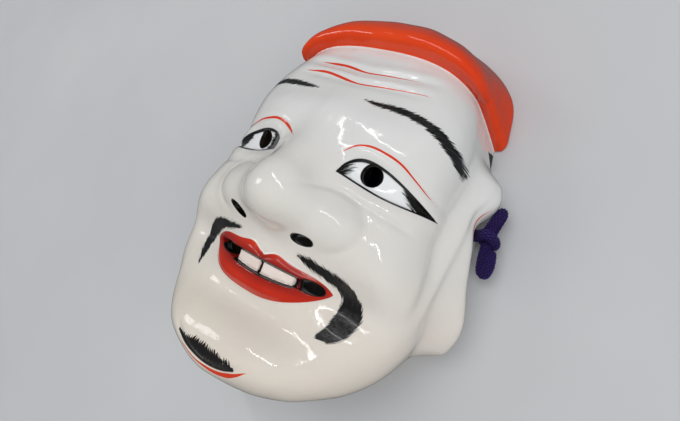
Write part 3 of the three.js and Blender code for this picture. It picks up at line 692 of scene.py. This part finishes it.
def make_cord(material):
    """The cord inside the mask, and a knot outside each ear."""
    for side, node in ((1, "cord_knot_left"), (-1, "cord_knot_right")):
        route = [(side * x, y, z) for x, y, z in KNOT_ROUTE]
        name = "knot_left" if side > 0 else "knot_right"
        knot, _ = braided_tube(name, route, KNOT_STRAND_RADIUS, KNOT_STEP, round_end=True)
        knot.data.materials.append(material)
        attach(knot, "root")
        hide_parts(node)
    cord, line = braided_tube("braided_cord", CORD_ROUTE, CORD_DIAMETER / 2, CORD_STEP)
    cord.data.materials.append(material)
    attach(cord, "root")
    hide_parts("head_cord")


# Painted strokes, as lines through a few points in the front view. Their half widths are given
# at shares of their length.
LEFT_BROW = (
    (13.3, 54), (20, 53.5), (30, 53.7), (40.6, 52.9), (50, 50.3), (57.5, 46.4), (62, 42.5),
    (64.6, 36.2),
)
RIGHT_BROW = (
    (-17, 55.1), (-26, 55.4), (-35.5, 55.8), (-44, 55.6), (-52, 53.5), (-59, 47.5), (-64, 38),
)
BROW_WIDTHS = (
    (0, 0.2), (0.08, 1), (0.3, 1.7), (0.5, 1.9), (0.7, 2.2), (0.82, 2.3), (0.92, 1.5),
    (1, -0.4),
)
LEFT_MOUSTACHE = (
    (18.7, -26.3), (26.5, -27.3), (34.6, -28.6), (40, -29.6), (44.8, -31.6), (47.8, -35),
    (49.3, -40.5), (48.7, -46.5), (46.3, -51), (42.3, -54),
)
LEFT_MOUSTACHE_WIDTHS = (
    (0, 0.6), (0.12, 2.1), (0.38, 2.4), (0.5, 3.4), (0.6, 5), (0.7, 6), (0.82, 5.6),
    (0.93, 3.6), (1, 1.4),
)
RIGHT_MOUSTACHE = (
    (-19.5, -26.3), (-30, -27.8), (-39, -29.8), (-45.5, -35), (-46, -42), (-42.5, -50),
    (-41, -54),
)
RIGHT_MOUSTACHE_WIDTHS = (
    (0, 0.5), (0.15, 1.5), (0.4, 2.8), (0.52, 4), (0.7, 3.4), (0.88, 1.8), (1, 0.3),
)
BEARD = ((-21.3, -81.9), (-15.2, -86), (-8, -88), (0.5, -88.8), (9.5, -87.1), (18.2, -83.2))
BEARD_HEIGHTS = ((0, 0.5), (0.12, 5), (0.3, 9.5), (0.5, 10.8), (0.75, 9.2), (0.95, 6), (1, 4))
LEFT_LID = (
    (18.7, 25.8), (23, 30), (29.7, 31.9), (36.9, 31.5), (45.2, 29.6), (52.9, 25.4), (60, 21),
)
RIGHT_LID = (
    (-13, 26.5), (-22.1, 30.9), (-28.6, 32.1), (-35.1, 31.3), (-42.8, 29.5), (-50, 26),
    (-57, 21.5),
)
LEFT_LID_WIDTHS = ((0, 0.15), (0.15, 0.5), (0.6, 0.55), (1, 0.15))
RIGHT_LID_WIDTHS = ((0, 0.4), (0.15, 0.75), (0.5, 0.65), (1, 0.2))
HIGH_WRINKLE = ((-29.2, 73.4), (-13.7, 72.9), (1.6, 71.2), (15.2, 72), (29.6, 72.9))
LOW_WRINKLE = ((-35.3, 65.9), (-21.7, 66.3), (1.9, 63), (17.8, 64.4), (32.6, 65.6), (38.8, 66))
WRINKLE_WIDTHS = ((0, 0.2), (0.15, 0.7), (0.4, 0.7), (0.5, 0.42), (0.75, 0.32), (1, 0.12))
CHIN_LINE = (
    (-17, -87.4), (-8, -90.2), (0, -90.8), (6.5, -90.2), (13.4, -88), (19.5, -84.8),
    (24.6, -81),
)
CHIN_LINE_WIDTHS = ((0, 0.2), (0.25, 0.35), (0.5, 0.8), (0.75, 1.05), (0.9, 0.6), (1, 0.1))

# Strokes on the side of the head, as (y, z) places
EAR_LINE = ((31.5, 21), (27, 23), (22.8, 24.4), (18.5, 25.4), (13.5, 26.2))
EAR_LINE_WIDTHS = ((0, 0.1), (0.4, 0.5), (0.8, 0.5), (1, 0.1))
TEMPLE_HAIR = ((84, 22), (77, 16), (69, 9), (61, 3), (56, 0))
TEMPLE_HAIR_WIDTHS = ((0, 4), (0.4, 5.5), (0.7, 5), (1, 1))

STROKE_STEP = 0.8
FAR = 50.0  # stands for no stroke near
OUTSIDE = 9.0  # stands for no eye, mouth or hair near
RED_LINE_REACH = 4
SIDES_FROM_X = 60
HAIR_BELOW_Z = 40


def stroke(x, y, line, widths):
    """(u, v, s) of points beside a line: mm along it, mm across it, and mm outside its edge."""
    flat, length = spline([(px, py, 0) for px, py in line], STROKE_STEP)
    flat = flat[:, :2]
    best = np.full(len(x), np.inf)
    along = np.zeros(len(x))
    across = np.zeros(len(x))
    pace = length / (len(flat) - 1)
    for n in range(len(flat) - 1):
        a, d = flat[n], flat[n + 1] - flat[n]
        span = d @ d
        px, py = x - a[0], y - a[1]
        t = np.clip((px * d[0] + py * d[1]) / span, 0, 1)
        gap = np.hypot(px - t * d[0], py - t * d[1])
        nearer = gap < best
        best = np.where(nearer, gap, best)
        along = np.where(nearer, (n + t) * pace, along)
        across = np.where(nearer, np.sign(d[0] * py - d[1] * px) * gap, across)
    half = np.interp(along / length, *np.array(widths).T)
    return np.stack([along, across, best - half], 1)


def nearest(strokes):
    """Of (u, v, s) strokes, the one whose edge is nearest, point by point."""
    strokes = np.array(strokes)
    pick = strokes[:, :, 2].argmin(0)
    return strokes[pick, np.arange(strokes.shape[1])]


def beard_values(x, y):
    """(u, height above the base line, mm outside) of the beard, whose hairs rise from its line."""
    place = stroke(x, y, BEARD, ((0, 0), (1, 0)))
    _, length = spline([(px, py, 0) for px, py in BEARD], STROKE_STEP)
    height = np.interp(place[:, 0] / length, *np.array(BEARD_HEIGHTS).T)
    up = place[:, 1]
    ends = np.maximum(BEARD[0][0] - x, x - BEARD[-1][0])
    outside = np.maximum(np.maximum(up - height, -up - 0.6), ends)
    return np.stack([place[:, 0], up, outside], 1)


def paint_layers(piece, points):
    """Vertex values that the paint is drawn from, each a smooth distance or a place on a stroke."""
    x, y, z = points.T
    ax = from_middle(x)
    on_front = z > FRONT_FROM_Z

    def add_front(name, values, elsewhere):
        add_vectors(piece, name, np.where(on_front[:, None], values, elsewhere))

    brows = nearest([stroke(x, y, line, BROW_WIDTHS) for line in (LEFT_BROW, RIGHT_BROW)])
    add_front("brow", brows, (0, 0, FAR))
    moustaches = [
        stroke(x, y, LEFT_MOUSTACHE, LEFT_MOUSTACHE_WIDTHS),
        stroke(x, y, RIGHT_MOUSTACHE, RIGHT_MOUSTACHE_WIDTHS) * np.array([1, -1, 1]),
    ]
    add_front("moustache", nearest(moustaches), (0, 0, FAR))
    add_front("beard", beard_values(x, y), (0, 0, FAR))
    reds = [
        stroke(x, y, LEFT_LID, LEFT_LID_WIDTHS),
        stroke(x, y, RIGHT_LID, RIGHT_LID_WIDTHS),
        stroke(x, y, HIGH_WRINKLE, WRINKLE_WIDTHS),
        stroke(x, y, LOW_WRINKLE, WRINKLE_WIDTHS),
        stroke(x, y, CHIN_LINE, CHIN_LINE_WIDTHS),
    ]
    side_red = stroke(y, z, EAR_LINE, EAR_LINE_WIDTHS)
    lines = np.where(on_front[:, None], nearest(reds), side_red)
    half = np.abs(lines[:, 1]) - lines[:, 2]
    off = (np.abs(lines[:, 1]) > RED_LINE_REACH) | (~on_front & (ax < SIDES_FROM_X))
    lines[:, 2] = np.where(off, -FAR, half)
    add_vectors(piece, "red_line", lines)
    eye_low, eye_high, t = eye_lines(x, ax)
    wider = np.clip(0.5 + (t - 0.5) * RIGHT_EYE_BLACKS, 0.003, 0.997)
    t = np.where((x < 0) & (t > 0) & (t < 0.999), wider, t)
    eye = np.stack([(eye_high - y) * LEAF_SLOPE, (y - eye_low) * LEAF_SLOPE, t], 1)
    add_front("eye", eye, (-OUTSIDE, -OUTSIDE, 0))
    mouth = np.stack([lip_depth(x, ax, y), slot_depth(ax, y), tooth_depth(x, ax, y)], 1)
    add_front("mouth", mouth, -OUTSIDE)
    skin, cap = skin_and_cap(x, y, z)
    holes = hole_distance(x, ax, y, z)
    hair = stroke(y, z, TEMPLE_HAIR, TEMPLE_HAIR_WIDTHS)[:, 2]
    hair = np.where((ax > SIDES_FROM_X) & (z < HAIR_BELOW_Z), hair, OUTSIDE)
    add_vectors(piece, "region", np.stack([skin - cap, holes, hair], 1))


def read(items, name, size, kind):
    """One value of a mesh's items, or a few, as an array."""
    values = np.empty(len(items) * size, kind)
    items.foreach_get(name, values)
    return values


def make_shell():
    """The papier-mache shell at its full detail, from the same forms as the CAD solid."""
    lines = [np.arange(low, high, NET_STEP, np.float32) for low, high in NET_SPAN]
    grid = np.meshgrid(*lines, indexing="ij", sparse=True)
    points, quads = surface_net(shell_field(*grid), [line[0] for line in lines], NET_STEP)
    for _ in range(SETTLING_ROUNDS):
        slope = gradient(hand_made_field, points, SLOPE_REACH)
        squared = np.maximum((slope**2).sum(1), LEAST_SLOPE_SQUARED)
        move = np.clip(hand_made_field(*points.T) / squared, -SETTLING_LIMIT, SETTLING_LIMIT)
        points = points - move[:, None] * slope
    points[:, 2] = np.maximum(points[:, 2], 0)
    piece = new_mesh("mask", to_frame(points), quads.tolist())
    inside = faces_hollow(points)
    group = piece.vertex_groups.new(name="inside")
    group.add(np.nonzero(inside)[0].tolist(), 1, "ADD")
    share = inside.mean()
    thin = piece.modifiers.new("thin", "DECIMATE")
    thin.vertex_group = "inside"
    thin.ratio = 1 - share * (1 - INNER_SHARE)
    thinned = bpy.data.meshes.new_from_object(
        piece.evaluated_get(bpy.context.evaluated_depsgraph_get())
    )
    piece.modifiers.clear()
    piece.vertex_groups.clear()
    piece.data = thinned
    thinned.name = "mask"
    points = read(thinned.vertices, "co", 3, float).reshape(-1, 3)
    points = points / MM - np.array([0, SHIFT_Y, 0])
    slope = gradient(hand_made_field, points, NORMAL_REACH)
    slope /= np.linalg.norm(slope, axis=1)[:, None] + 1e-9
    inside = faces_hollow(points) | (points[:, 2] < BARE_RIM_Z)
    thinned.polygons.foreach_set("use_smooth", np.ones(len(thinned.polygons), bool))
    corner_vertices = read(thinned.loops, "vertex_index", 1, int)
    starts = read(thinned.polygons, "loop_start", 1, int)
    bare = np.minimum.reduceat(inside[corner_vertices].astype(int), starts)
    thinned.normals_split_custom_set_from_vertices(slope.tolist())
    paint_layers(piece, points)
    piece.data.materials.append(lacquer_material())
    piece.data.materials.append(paper_material())
    thinned.polygons.foreach_set("material_index", bare)
    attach(piece, "root")
    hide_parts("mask_shell")


class Graph:
    """A material's nodes under short names."""

    def __init__(self, name):
        self.material = bpy.data.materials.new(name)
        self.material.use_nodes = True
        self.tree = self.material.node_tree
        self.shader = self.tree.nodes["Principled BSDF"]

    def link(self, value, socket):
        """Sets a socket to a number or a colour, or joins it to another node's output."""
        if hasattr(value, "links"):
            self.tree.links.new(value, socket)
        else:
            socket.default_value = value

    def node(self, kind, inputs=(), **settings):
        made = self.tree.nodes.new("ShaderNode" + kind)
        for key, value in settings.items():
            setattr(made, key, value)
        for key, value in dict(inputs).items():
            self.link(value, made.inputs[key])
        return made

    def math(self, operation, a, b=0.0):
        return self.node("Math", {0: a, 1: b}, operation=operation).outputs[0]

    def add(self, a, b):
        return self.math("ADD", a, b)

    def times(self, a, b):
        return self.math("MULTIPLY", a, b)

    def least(self, a, b):
        return self.math("MINIMUM", a, b)

    def most(self, a, b):
        return self.math("MAXIMUM", a, b)

    def range(self, value, low, high, to_low, to_high, **settings):
        """Runs from one number to another while value runs from low to high."""
        ends = {"From Min": low, "From Max": high, "To Min": to_low, "To Max": to_high}
        return self.node("MapRange", {"Value": value, **ends}, **settings).outputs[0]

    def below(self, value, edge, soft=0.12):
        """1 where value is under the edge, 0 over it."""
        return self.range(value, edge - soft, edge + soft, 1, 0, interpolation_type="SMOOTHSTEP")

    def above(self, value, edge, soft=0.12):
        return self.range(value, edge - soft, edge + soft, 0, 1, interpolation_type="SMOOTHSTEP")

    def mix(self, share, a, b):
        made = self.node("Mix", data_type="RGBA")
        self.link(share, made.inputs["Factor"])
        self.link(a, made.inputs[6])
        self.link(b, made.inputs[7])
        return made.outputs[2]

    def attribute(self, name):
        source = self.node("Attribute", attribute_name=name)
        return self.node("SeparateXYZ", {0: source.outputs["Vector"]}).outputs

    def place(self):
        return self.node("TexCoord").outputs["Object"]

    def vector(self, x, y, z=0.0):
        return self.node("CombineXYZ", {0: x, 1: y, 2: z}).outputs[0]

    def noise(self, vector, scale=1.0, detail=2.0, roughness=0.5):
        inputs = {"Vector": vector, "Scale": scale, "Detail": detail, "Roughness": roughness}
        return self.node("TexNoise", inputs).outputs[0]

    def paint(self, share, tone):
        """Lays a tone over the colour so far."""
        self.colour = self.mix(share, self.colour, tone)

    def mottle(self, vector, scale, detail, a, b):
        """Two colours in soft patches."""
        return self.mix(self.range(self.noise(vector, scale, detail), 0.3, 0.7, 0, 1), a, b)

    def voronoi(self, vector, scale, feature="F1", output="Distance"):
        inputs = {"Vector": vector, "Scale": scale}
        return self.node("TexVoronoi", inputs, feature=feature).outputs[output]

    def bump(self, height, distance):
        made = self.node("Bump", {"Height": height, "Distance": distance})
        self.set("Normal", made.outputs[0])

    def set(self, name, value):
        self.link(value, self.shader.inputs[name])

    def hairs(self, u, v, lean):
        """Streaks of brushed hair in a stroke: they lean by an angle from the stroke's line."""
        c, s = math.cos(lean), math.sin(lean)
        along = self.add(self.times(u, c), self.times(v, s))
        across = self.add(self.times(v, c), self.times(u, -s))
        streaks = self.vector(self.times(across, HAIR_FINENESS), self.times(along, HAIR_LENGTH))
        return self.noise(streaks, 1.0, 3.0, 0.6)


BLACK = (0.008, 0.0075, 0.008, 1)
GREY_HAIR = (0.06, 0.063, 0.07, 1)
BROWN_HAIR = (0.075, 0.045, 0.032, 1)
HAIR_FINENESS = 2.2
HAIR_LENGTH = 0.16
BROW_HAIR_LEAN = 0.6
MOUSTACHE_HAIR_LEAN = -0.35
HAIR_RAGGED = 4.5
BEARD_TIPS = 2.2
BEARD_HAIRS_PER_MM = 0.62
RIGHT_EYE_BLACKS = 1.42  # the black of the right eye's corners reaches this much further in
RED_LINE = (0.66, 0.045, 0.012, 1)
CAP_RED = (0.7, 0.046, 0.008, 1)
CAP_RED_PALE = (0.76, 0.062, 0.011, 1)
LIP_RED = (0.5, 0.023, 0.009, 1)
LIP_RED_PALE = (0.58, 0.034, 0.012, 1)
# Dark red laid on the lips next to the mouth slot as painted shade
LIP_PAINTED_SHADE = (0.22, 0.011, 0.009, 1)
MOUTH_RED = (0.2, 0.01, 0.009, 1)
TOOTH = (0.79, 0.66, 0.6, 1)
TOOTH_PALE = (0.84, 0.74, 0.69, 1)
EYE_WHITE = (0.8, 0.81, 0.82, 1)
SKIN_COOL = (0.7, 0.7, 0.69, 1)
SKIN_WARM = (0.72, 0.67, 0.59, 1)
SKIN_BLUSH = (0.73, 0.62, 0.55, 1)
PAPER_DARK = (0.36, 0.25, 0.15, 1)
PAPER_PALE = (0.47, 0.35, 0.23, 1)
PAPER_FIBRE = (0.26, 0.17, 0.1, 1)
PAPER_SEAM = (0.29, 0.2, 0.12, 1)
# The braid's darkest tone, also laid in the gaps between its strands as painted shade
BRAID_DARK_AND_GAP_SHADE = (0.003, 0.001, 0.014, 1)
BRAID_VIOLET = (0.07, 0.024, 0.32, 1)
BRAID_SHEEN = (0.45, 0.35, 0.9, 1)
THREAD_WAVE = 31.4  # radians across a strand, five threads
FLOOR_REACH = 3  # in metres, as FLOOR_Z
FLOOR_Z = -0.0002
FLOOR_TONES = (0.52, 0.53, 0.55, 1), (0.56, 0.57, 0.585, 1)


def lacquer_material():
    """Painted gesso under clear lacquer: each paint is laid over the ones before it."""
    g = Graph("painted_lacquer")
    place = g.place()
    xyz = g.node("SeparateXYZ", {0: place}).outputs

    # Skin: cool on the forehead, warm with a little blush below
    up_face = g.add(xyz[1], g.times(g.noise(place, 14, 3), 0.05))
    warmth = g.range(up_face, 0.05, -0.06, 0, 1)
    skin = g.mix(warmth, SKIN_COOL, SKIN_WARM)
    blush = g.times(g.range(g.noise(place, 9, 2), 0.45, 0.75, 0, 0.6), warmth)
    g.colour = g.mix(blush, skin, SKIN_BLUSH)

    # Temple hair and cap
    cap, hole, temple = g.attribute("region")
    g.paint(g.below(temple, 0.0, 0.3), BLACK)
    g.paint(g.above(cap, 0.25, 0.15), g.mottle(place, 30, 2, CAP_RED, CAP_RED_PALE))

    # Eyes: white, with black lines along the lids and hatched black in the corners
    eye_up, eye_down, eye_t = g.attribute("eye")
    eye = g.least(eye_up, eye_down)
    ends = g.times(g.above(eye_t, 0.002, 0.002), g.below(eye_t, 0.998, 0.002))
    in_eye = g.times(g.above(eye, 0.0, 0.15), ends)
    g.paint(in_eye, EYE_WHITE)
    streak = g.noise(g.vector(g.times(eye_t, 5), g.times(eye_up, 1.6)), 1.0, 3.0, 0.75)
    share_up = g.math("DIVIDE", eye_down, g.most(g.add(eye_up, eye_down), 0.3))
    wedge = g.add(eye_t, g.add(g.times(share_up, 0.2), g.times(streak, 0.3)))
    corner = g.add(g.times(eye_t, -1), g.times(streak, 0.42))
    dark = g.most(g.above(wedge, 0.98, 0.03), g.above(corner, 0.12, 0.03))
    upper_line = g.below(g.add(eye_up, g.times(streak, 0.5)), 1.45, 0.15)
    lower_line = g.below(eye_down, 0.85, 0.15)
    dark = g.times(g.most(dark, g.most(upper_line, lower_line)), in_eye)
    g.paint(dark, BLACK)

    # Lips, the mouth between them and the two teeth
    lip, slot, tooth = g.attribute("mouth")
    lip_tone = g.mottle(place, 60, 2, LIP_RED, LIP_RED_PALE)
    # Painted shade: the lips darken towards the sunken mouth slot
    lip_tone = g.mix(g.range(slot, -4.5, -0.8, 0, 0.8), lip_tone, LIP_PAINTED_SHADE)
    g.paint(g.above(lip, 0.0), lip_tone)
    g.paint(g.above(slot, 0.0, 0.3), MOUTH_RED)
    g.paint(g.times(g.above(tooth, -1.1, 0.2), g.above(lip, 0.4, 0.2)), BLACK)
    g.paint(g.above(tooth, 0.15, 0.15), g.mottle(place, 90, 2, TOOTH, TOOTH_PALE))

    # Red lines
    _, v, half = g.attribute("red_line")
    outside = g.math("SUBTRACT", g.math("ABSOLUTE", v), half)
    red = g.below(g.add(outside, g.times(g.noise(place, 200, 1), 0.2)), 0.1, 0.1)
    g.paint(red, RED_LINE)

    # Brows, moustache and beard, brushed hair by hair
    u, v, s = g.attribute("brow")
    hairs = g.hairs(u, v, BROW_HAIR_LEAN)
    brow = g.below(g.add(s, g.times(hairs, HAIR_RAGGED)), HAIR_RAGGED / 2, 0.25)
    brow_tone = g.mix(g.range(g.add(g.times(u, 0.003), hairs), 0.6, 0.9, 0, 0.7), BLACK, GREY_HAIR)
    g.paint(brow, brow_tone)

    u, v, s = g.attribute("moustache")
    hairs = g.hairs(u, v, MOUSTACHE_HAIR_LEAN)
    ragged = g.range(u, 22, 40, HAIR_RAGGED * 1.3, HAIR_RAGGED)
    moustache = g.below(g.add(s, g.times(ragged, g.add(hairs, -0.5))), 0.0, 0.25)
    g.paint(moustache, g.mix(g.range(hairs, 0.55, 0.9, 0, 0.7), BLACK, GREY_HAIR))

    u, v, s = g.attribute("beard")
    sway = g.noise(g.vector(g.times(u, 0.35), g.times(v, 0.12)), 1.0, 2.0, 0.5)
    hair = g.math("FRACT", g.add(g.times(u, BEARD_HAIRS_PER_MM), g.times(sway, 3.0)))
    tip = g.times(g.math("ABSOLUTE", g.add(hair, -0.5)), 2 * BEARD_TIPS)
    clumps = g.noise(g.vector(g.times(u, 0.5), 0.0), 1.0, 2.0, 0.6)
    tufts = g.add(tip, g.times(clumps, BEARD_TIPS))
    beard = g.below(g.add(s, g.times(tufts, g.above(v, 1.5, 1.5))), 0.0, 0.3)
    brown_ends = g.times(g.range(g.add(s, tufts), -1.2, -0.1, 0, 1), g.above(v, 4.5, 1.5))
    g.paint(beard, g.mix(brown_ends, BLACK, BROWN_HAIR))

    # Inked edges of the holes
    g.paint(g.below(hole, 0.45, 0.12), BLACK)
    g.set("Base Color", g.colour)

    # Lacquer: a little duller and streaked over the black paint, and faintly crinkled all over
    painted = g.most(g.most(brow, moustache), g.most(beard, dark))
    rough = g.add(g.times(painted, 0.1), g.range(g.noise(place, 220, 3), 0.3, 0.7, 0.06, 0.13))
    g.set("Roughness", rough)
    crinkle = g.add(g.times(g.noise(place, 120, 2), 0.7), g.times(g.noise(place, 380, 2), 0.16))
    strokes = g.times(g.times(painted, hairs), 0.6)
    g.bump(g.add(crinkle, strokes), 0.0004)
    g.set("IOR", 1.5)
    g.set("Coat Weight", 0.2)
    g.set("Coat Roughness", 0.03)
    return g.material


def paper_material():
    """The bare back of the shell: pasted strips of brown paper."""
    g = Graph("pasted_paper")
    place = g.place()
    bent = g.node("VectorMath", {0: place}, operation="ADD")
    g.link(g.noise(place, 25, 3), bent.inputs[1])
    patches = g.voronoi(bent.outputs[0], 26, output="Color")
    tone = g.node("SeparateColor", {0: patches}).outputs[0]
    edge = g.voronoi(bent.outputs[0], 26, feature="DISTANCE_TO_EDGE")
    fibres = g.noise(place, 900, 4, 0.7)
    g.colour = g.mix(tone, PAPER_DARK, PAPER_PALE)
    g.paint(g.range(fibres, 0.35, 0.7, 0, 0.5), PAPER_FIBRE)
    g.paint(g.below(edge, 0.02, 0.02), PAPER_SEAM)
    g.set("Base Color", g.colour)
    g.set("Roughness", g.range(fibres, 0.3, 0.7, 0.75, 0.95))
    height = g.add(g.times(fibres, 0.4), g.add(g.times(tone, 0.8), g.above(edge, 0.03, 0.03)))
    g.bump(height, 0.0006)
    return g.material


def cord_material():
    """Deep violet braid: each strand is a bundle of fine twisted thread, with painted shade in the
    gaps between strands.
    """
    g = Graph("violet_braid")
    p, q, _ = g.attribute("weave")
    parity = g.math("FLOORED_MODULO", g.add(g.math("FLOOR", p), g.math("FLOOR", q)), 2.0)
    threads_p = g.math("SINE", g.times(p, THREAD_WAVE))
    threads_q = g.math("SINE", g.times(q, THREAD_WAVE))
    threads = g.node("Mix", {"Factor": parity, 2: threads_p, 3: threads_q}).outputs[0]
    fuzz = g.noise(g.place(), 1500, 3, 0.7)
    # Painted shade: the colour darkens into the gaps between the strands, over the threads' own
    # light and dark tone
    depth = g.math("ABSOLUTE", g.math("SINE", g.times(p, math.pi)))
    depth = g.least(depth, g.math("ABSOLUTE", g.math("SINE", g.times(q, math.pi))))
    light = g.add(g.times(threads, 0.1), g.add(g.times(fuzz, 0.35), g.times(depth, 0.7)))
    g.set("Base Color", g.mix(g.range(light, 0.35, 0.95, 0, 1), BRAID_DARK_AND_GAP_SHADE, BRAID_VIOLET))
    g.set("Roughness", g.range(fuzz, 0.3, 0.7, 0.55, 0.8))
    g.bump(g.add(g.times(threads, 0.5), fuzz), 0.0003)
    g.set("Sheen Weight", 0.12)
    g.set("Sheen Roughness", 0.4)
    g.set("Sheen Tint", BRAID_SHEEN)
    return g.material


def make_floor():
    """A plain pale floor."""
    g = Graph("pale_floor")
    g.set("Base Color", g.mottle(g.place(), 6, 3, *FLOOR_TONES))
    g.set("Roughness", 0.85)
    r = FLOOR_REACH
    floor = new_mesh("floor", [(-r, -r, 0), (r, -r, 0), (r, r, 0), (-r, r, 0)], [(0, 1, 2, 3)])
    floor.location.z = FLOOR_Z
    floor.visible_glossy = False
    floor.data.materials.append(g.material)


LIGHTS_AIM = (0, 0, 0.04)


def area_light(name, direction, distance, size, power, along=(1, 0, 0), glossy=True):
    """A light that faces the mask from a direction, its long side along another."""
    data = bpy.data.lights.new(name, "AREA")
    data.shape = "RECTANGLE"
    data.size, data.size_y = size
    data.energy = power
    lamp = bpy.data.objects.new(name, data)
    aim = Vector(direction).normalized()
    across = (Vector(along) - Vector(along).dot(aim) * aim).normalized()
    turn = Matrix((across, aim.cross(across), aim)).transposed()
    place = aim * distance + Vector(LIGHTS_AIM)
    lamp.matrix_world = Matrix.Translation(place) @ turn.to_4x4()
    lamp.visible_glossy = glossy
    bpy.context.scene.collection.objects.link(lamp)


def make_lights():
    """Even soft light that leaves no reflection, and two lights that do: a strip and a soft box."""
    world = bpy.data.worlds.new("studio")
    world.use_nodes = True
    background = world.node_tree.nodes["Background"]
    background.inputs["Color"].default_value = (0.92, 0.96, 1, 1)
    background.inputs["Strength"].default_value = 0.12
    bpy.context.scene.world = world
    area_light("key_strip", (-0.11, 0.39, 0.91), 1.5, (1.2, 0.03), 3.2, (0.8, -0.3, 0.23))
    area_light("left_box", (-0.7, 0.05, 0.7), 1.3, (0.3, 0.3), 1.2)
    area_light("top_fill", (0.1, 0.2, 1), 1.6, (1.6, 1.6), 13, glossy=False)
    area_light("right_fill", (0.9, -0.1, 0.5), 1.6, (1.4, 1.4), 12, glossy=False)
    area_light("chin_fill", (-0.1, -0.95, 0.45), 1.6, (1.4, 1.4), 5, glossy=False)
    area_light("left_fill", (-0.9, 0.1, 0.5), 1.6, (1.4, 1.4), 4, glossy=False)
    bpy.context.scene.view_settings.view_transform = "Standard"


make_camera()
make_cord(cord_material())
make_shell()
make_floor()
make_lights()
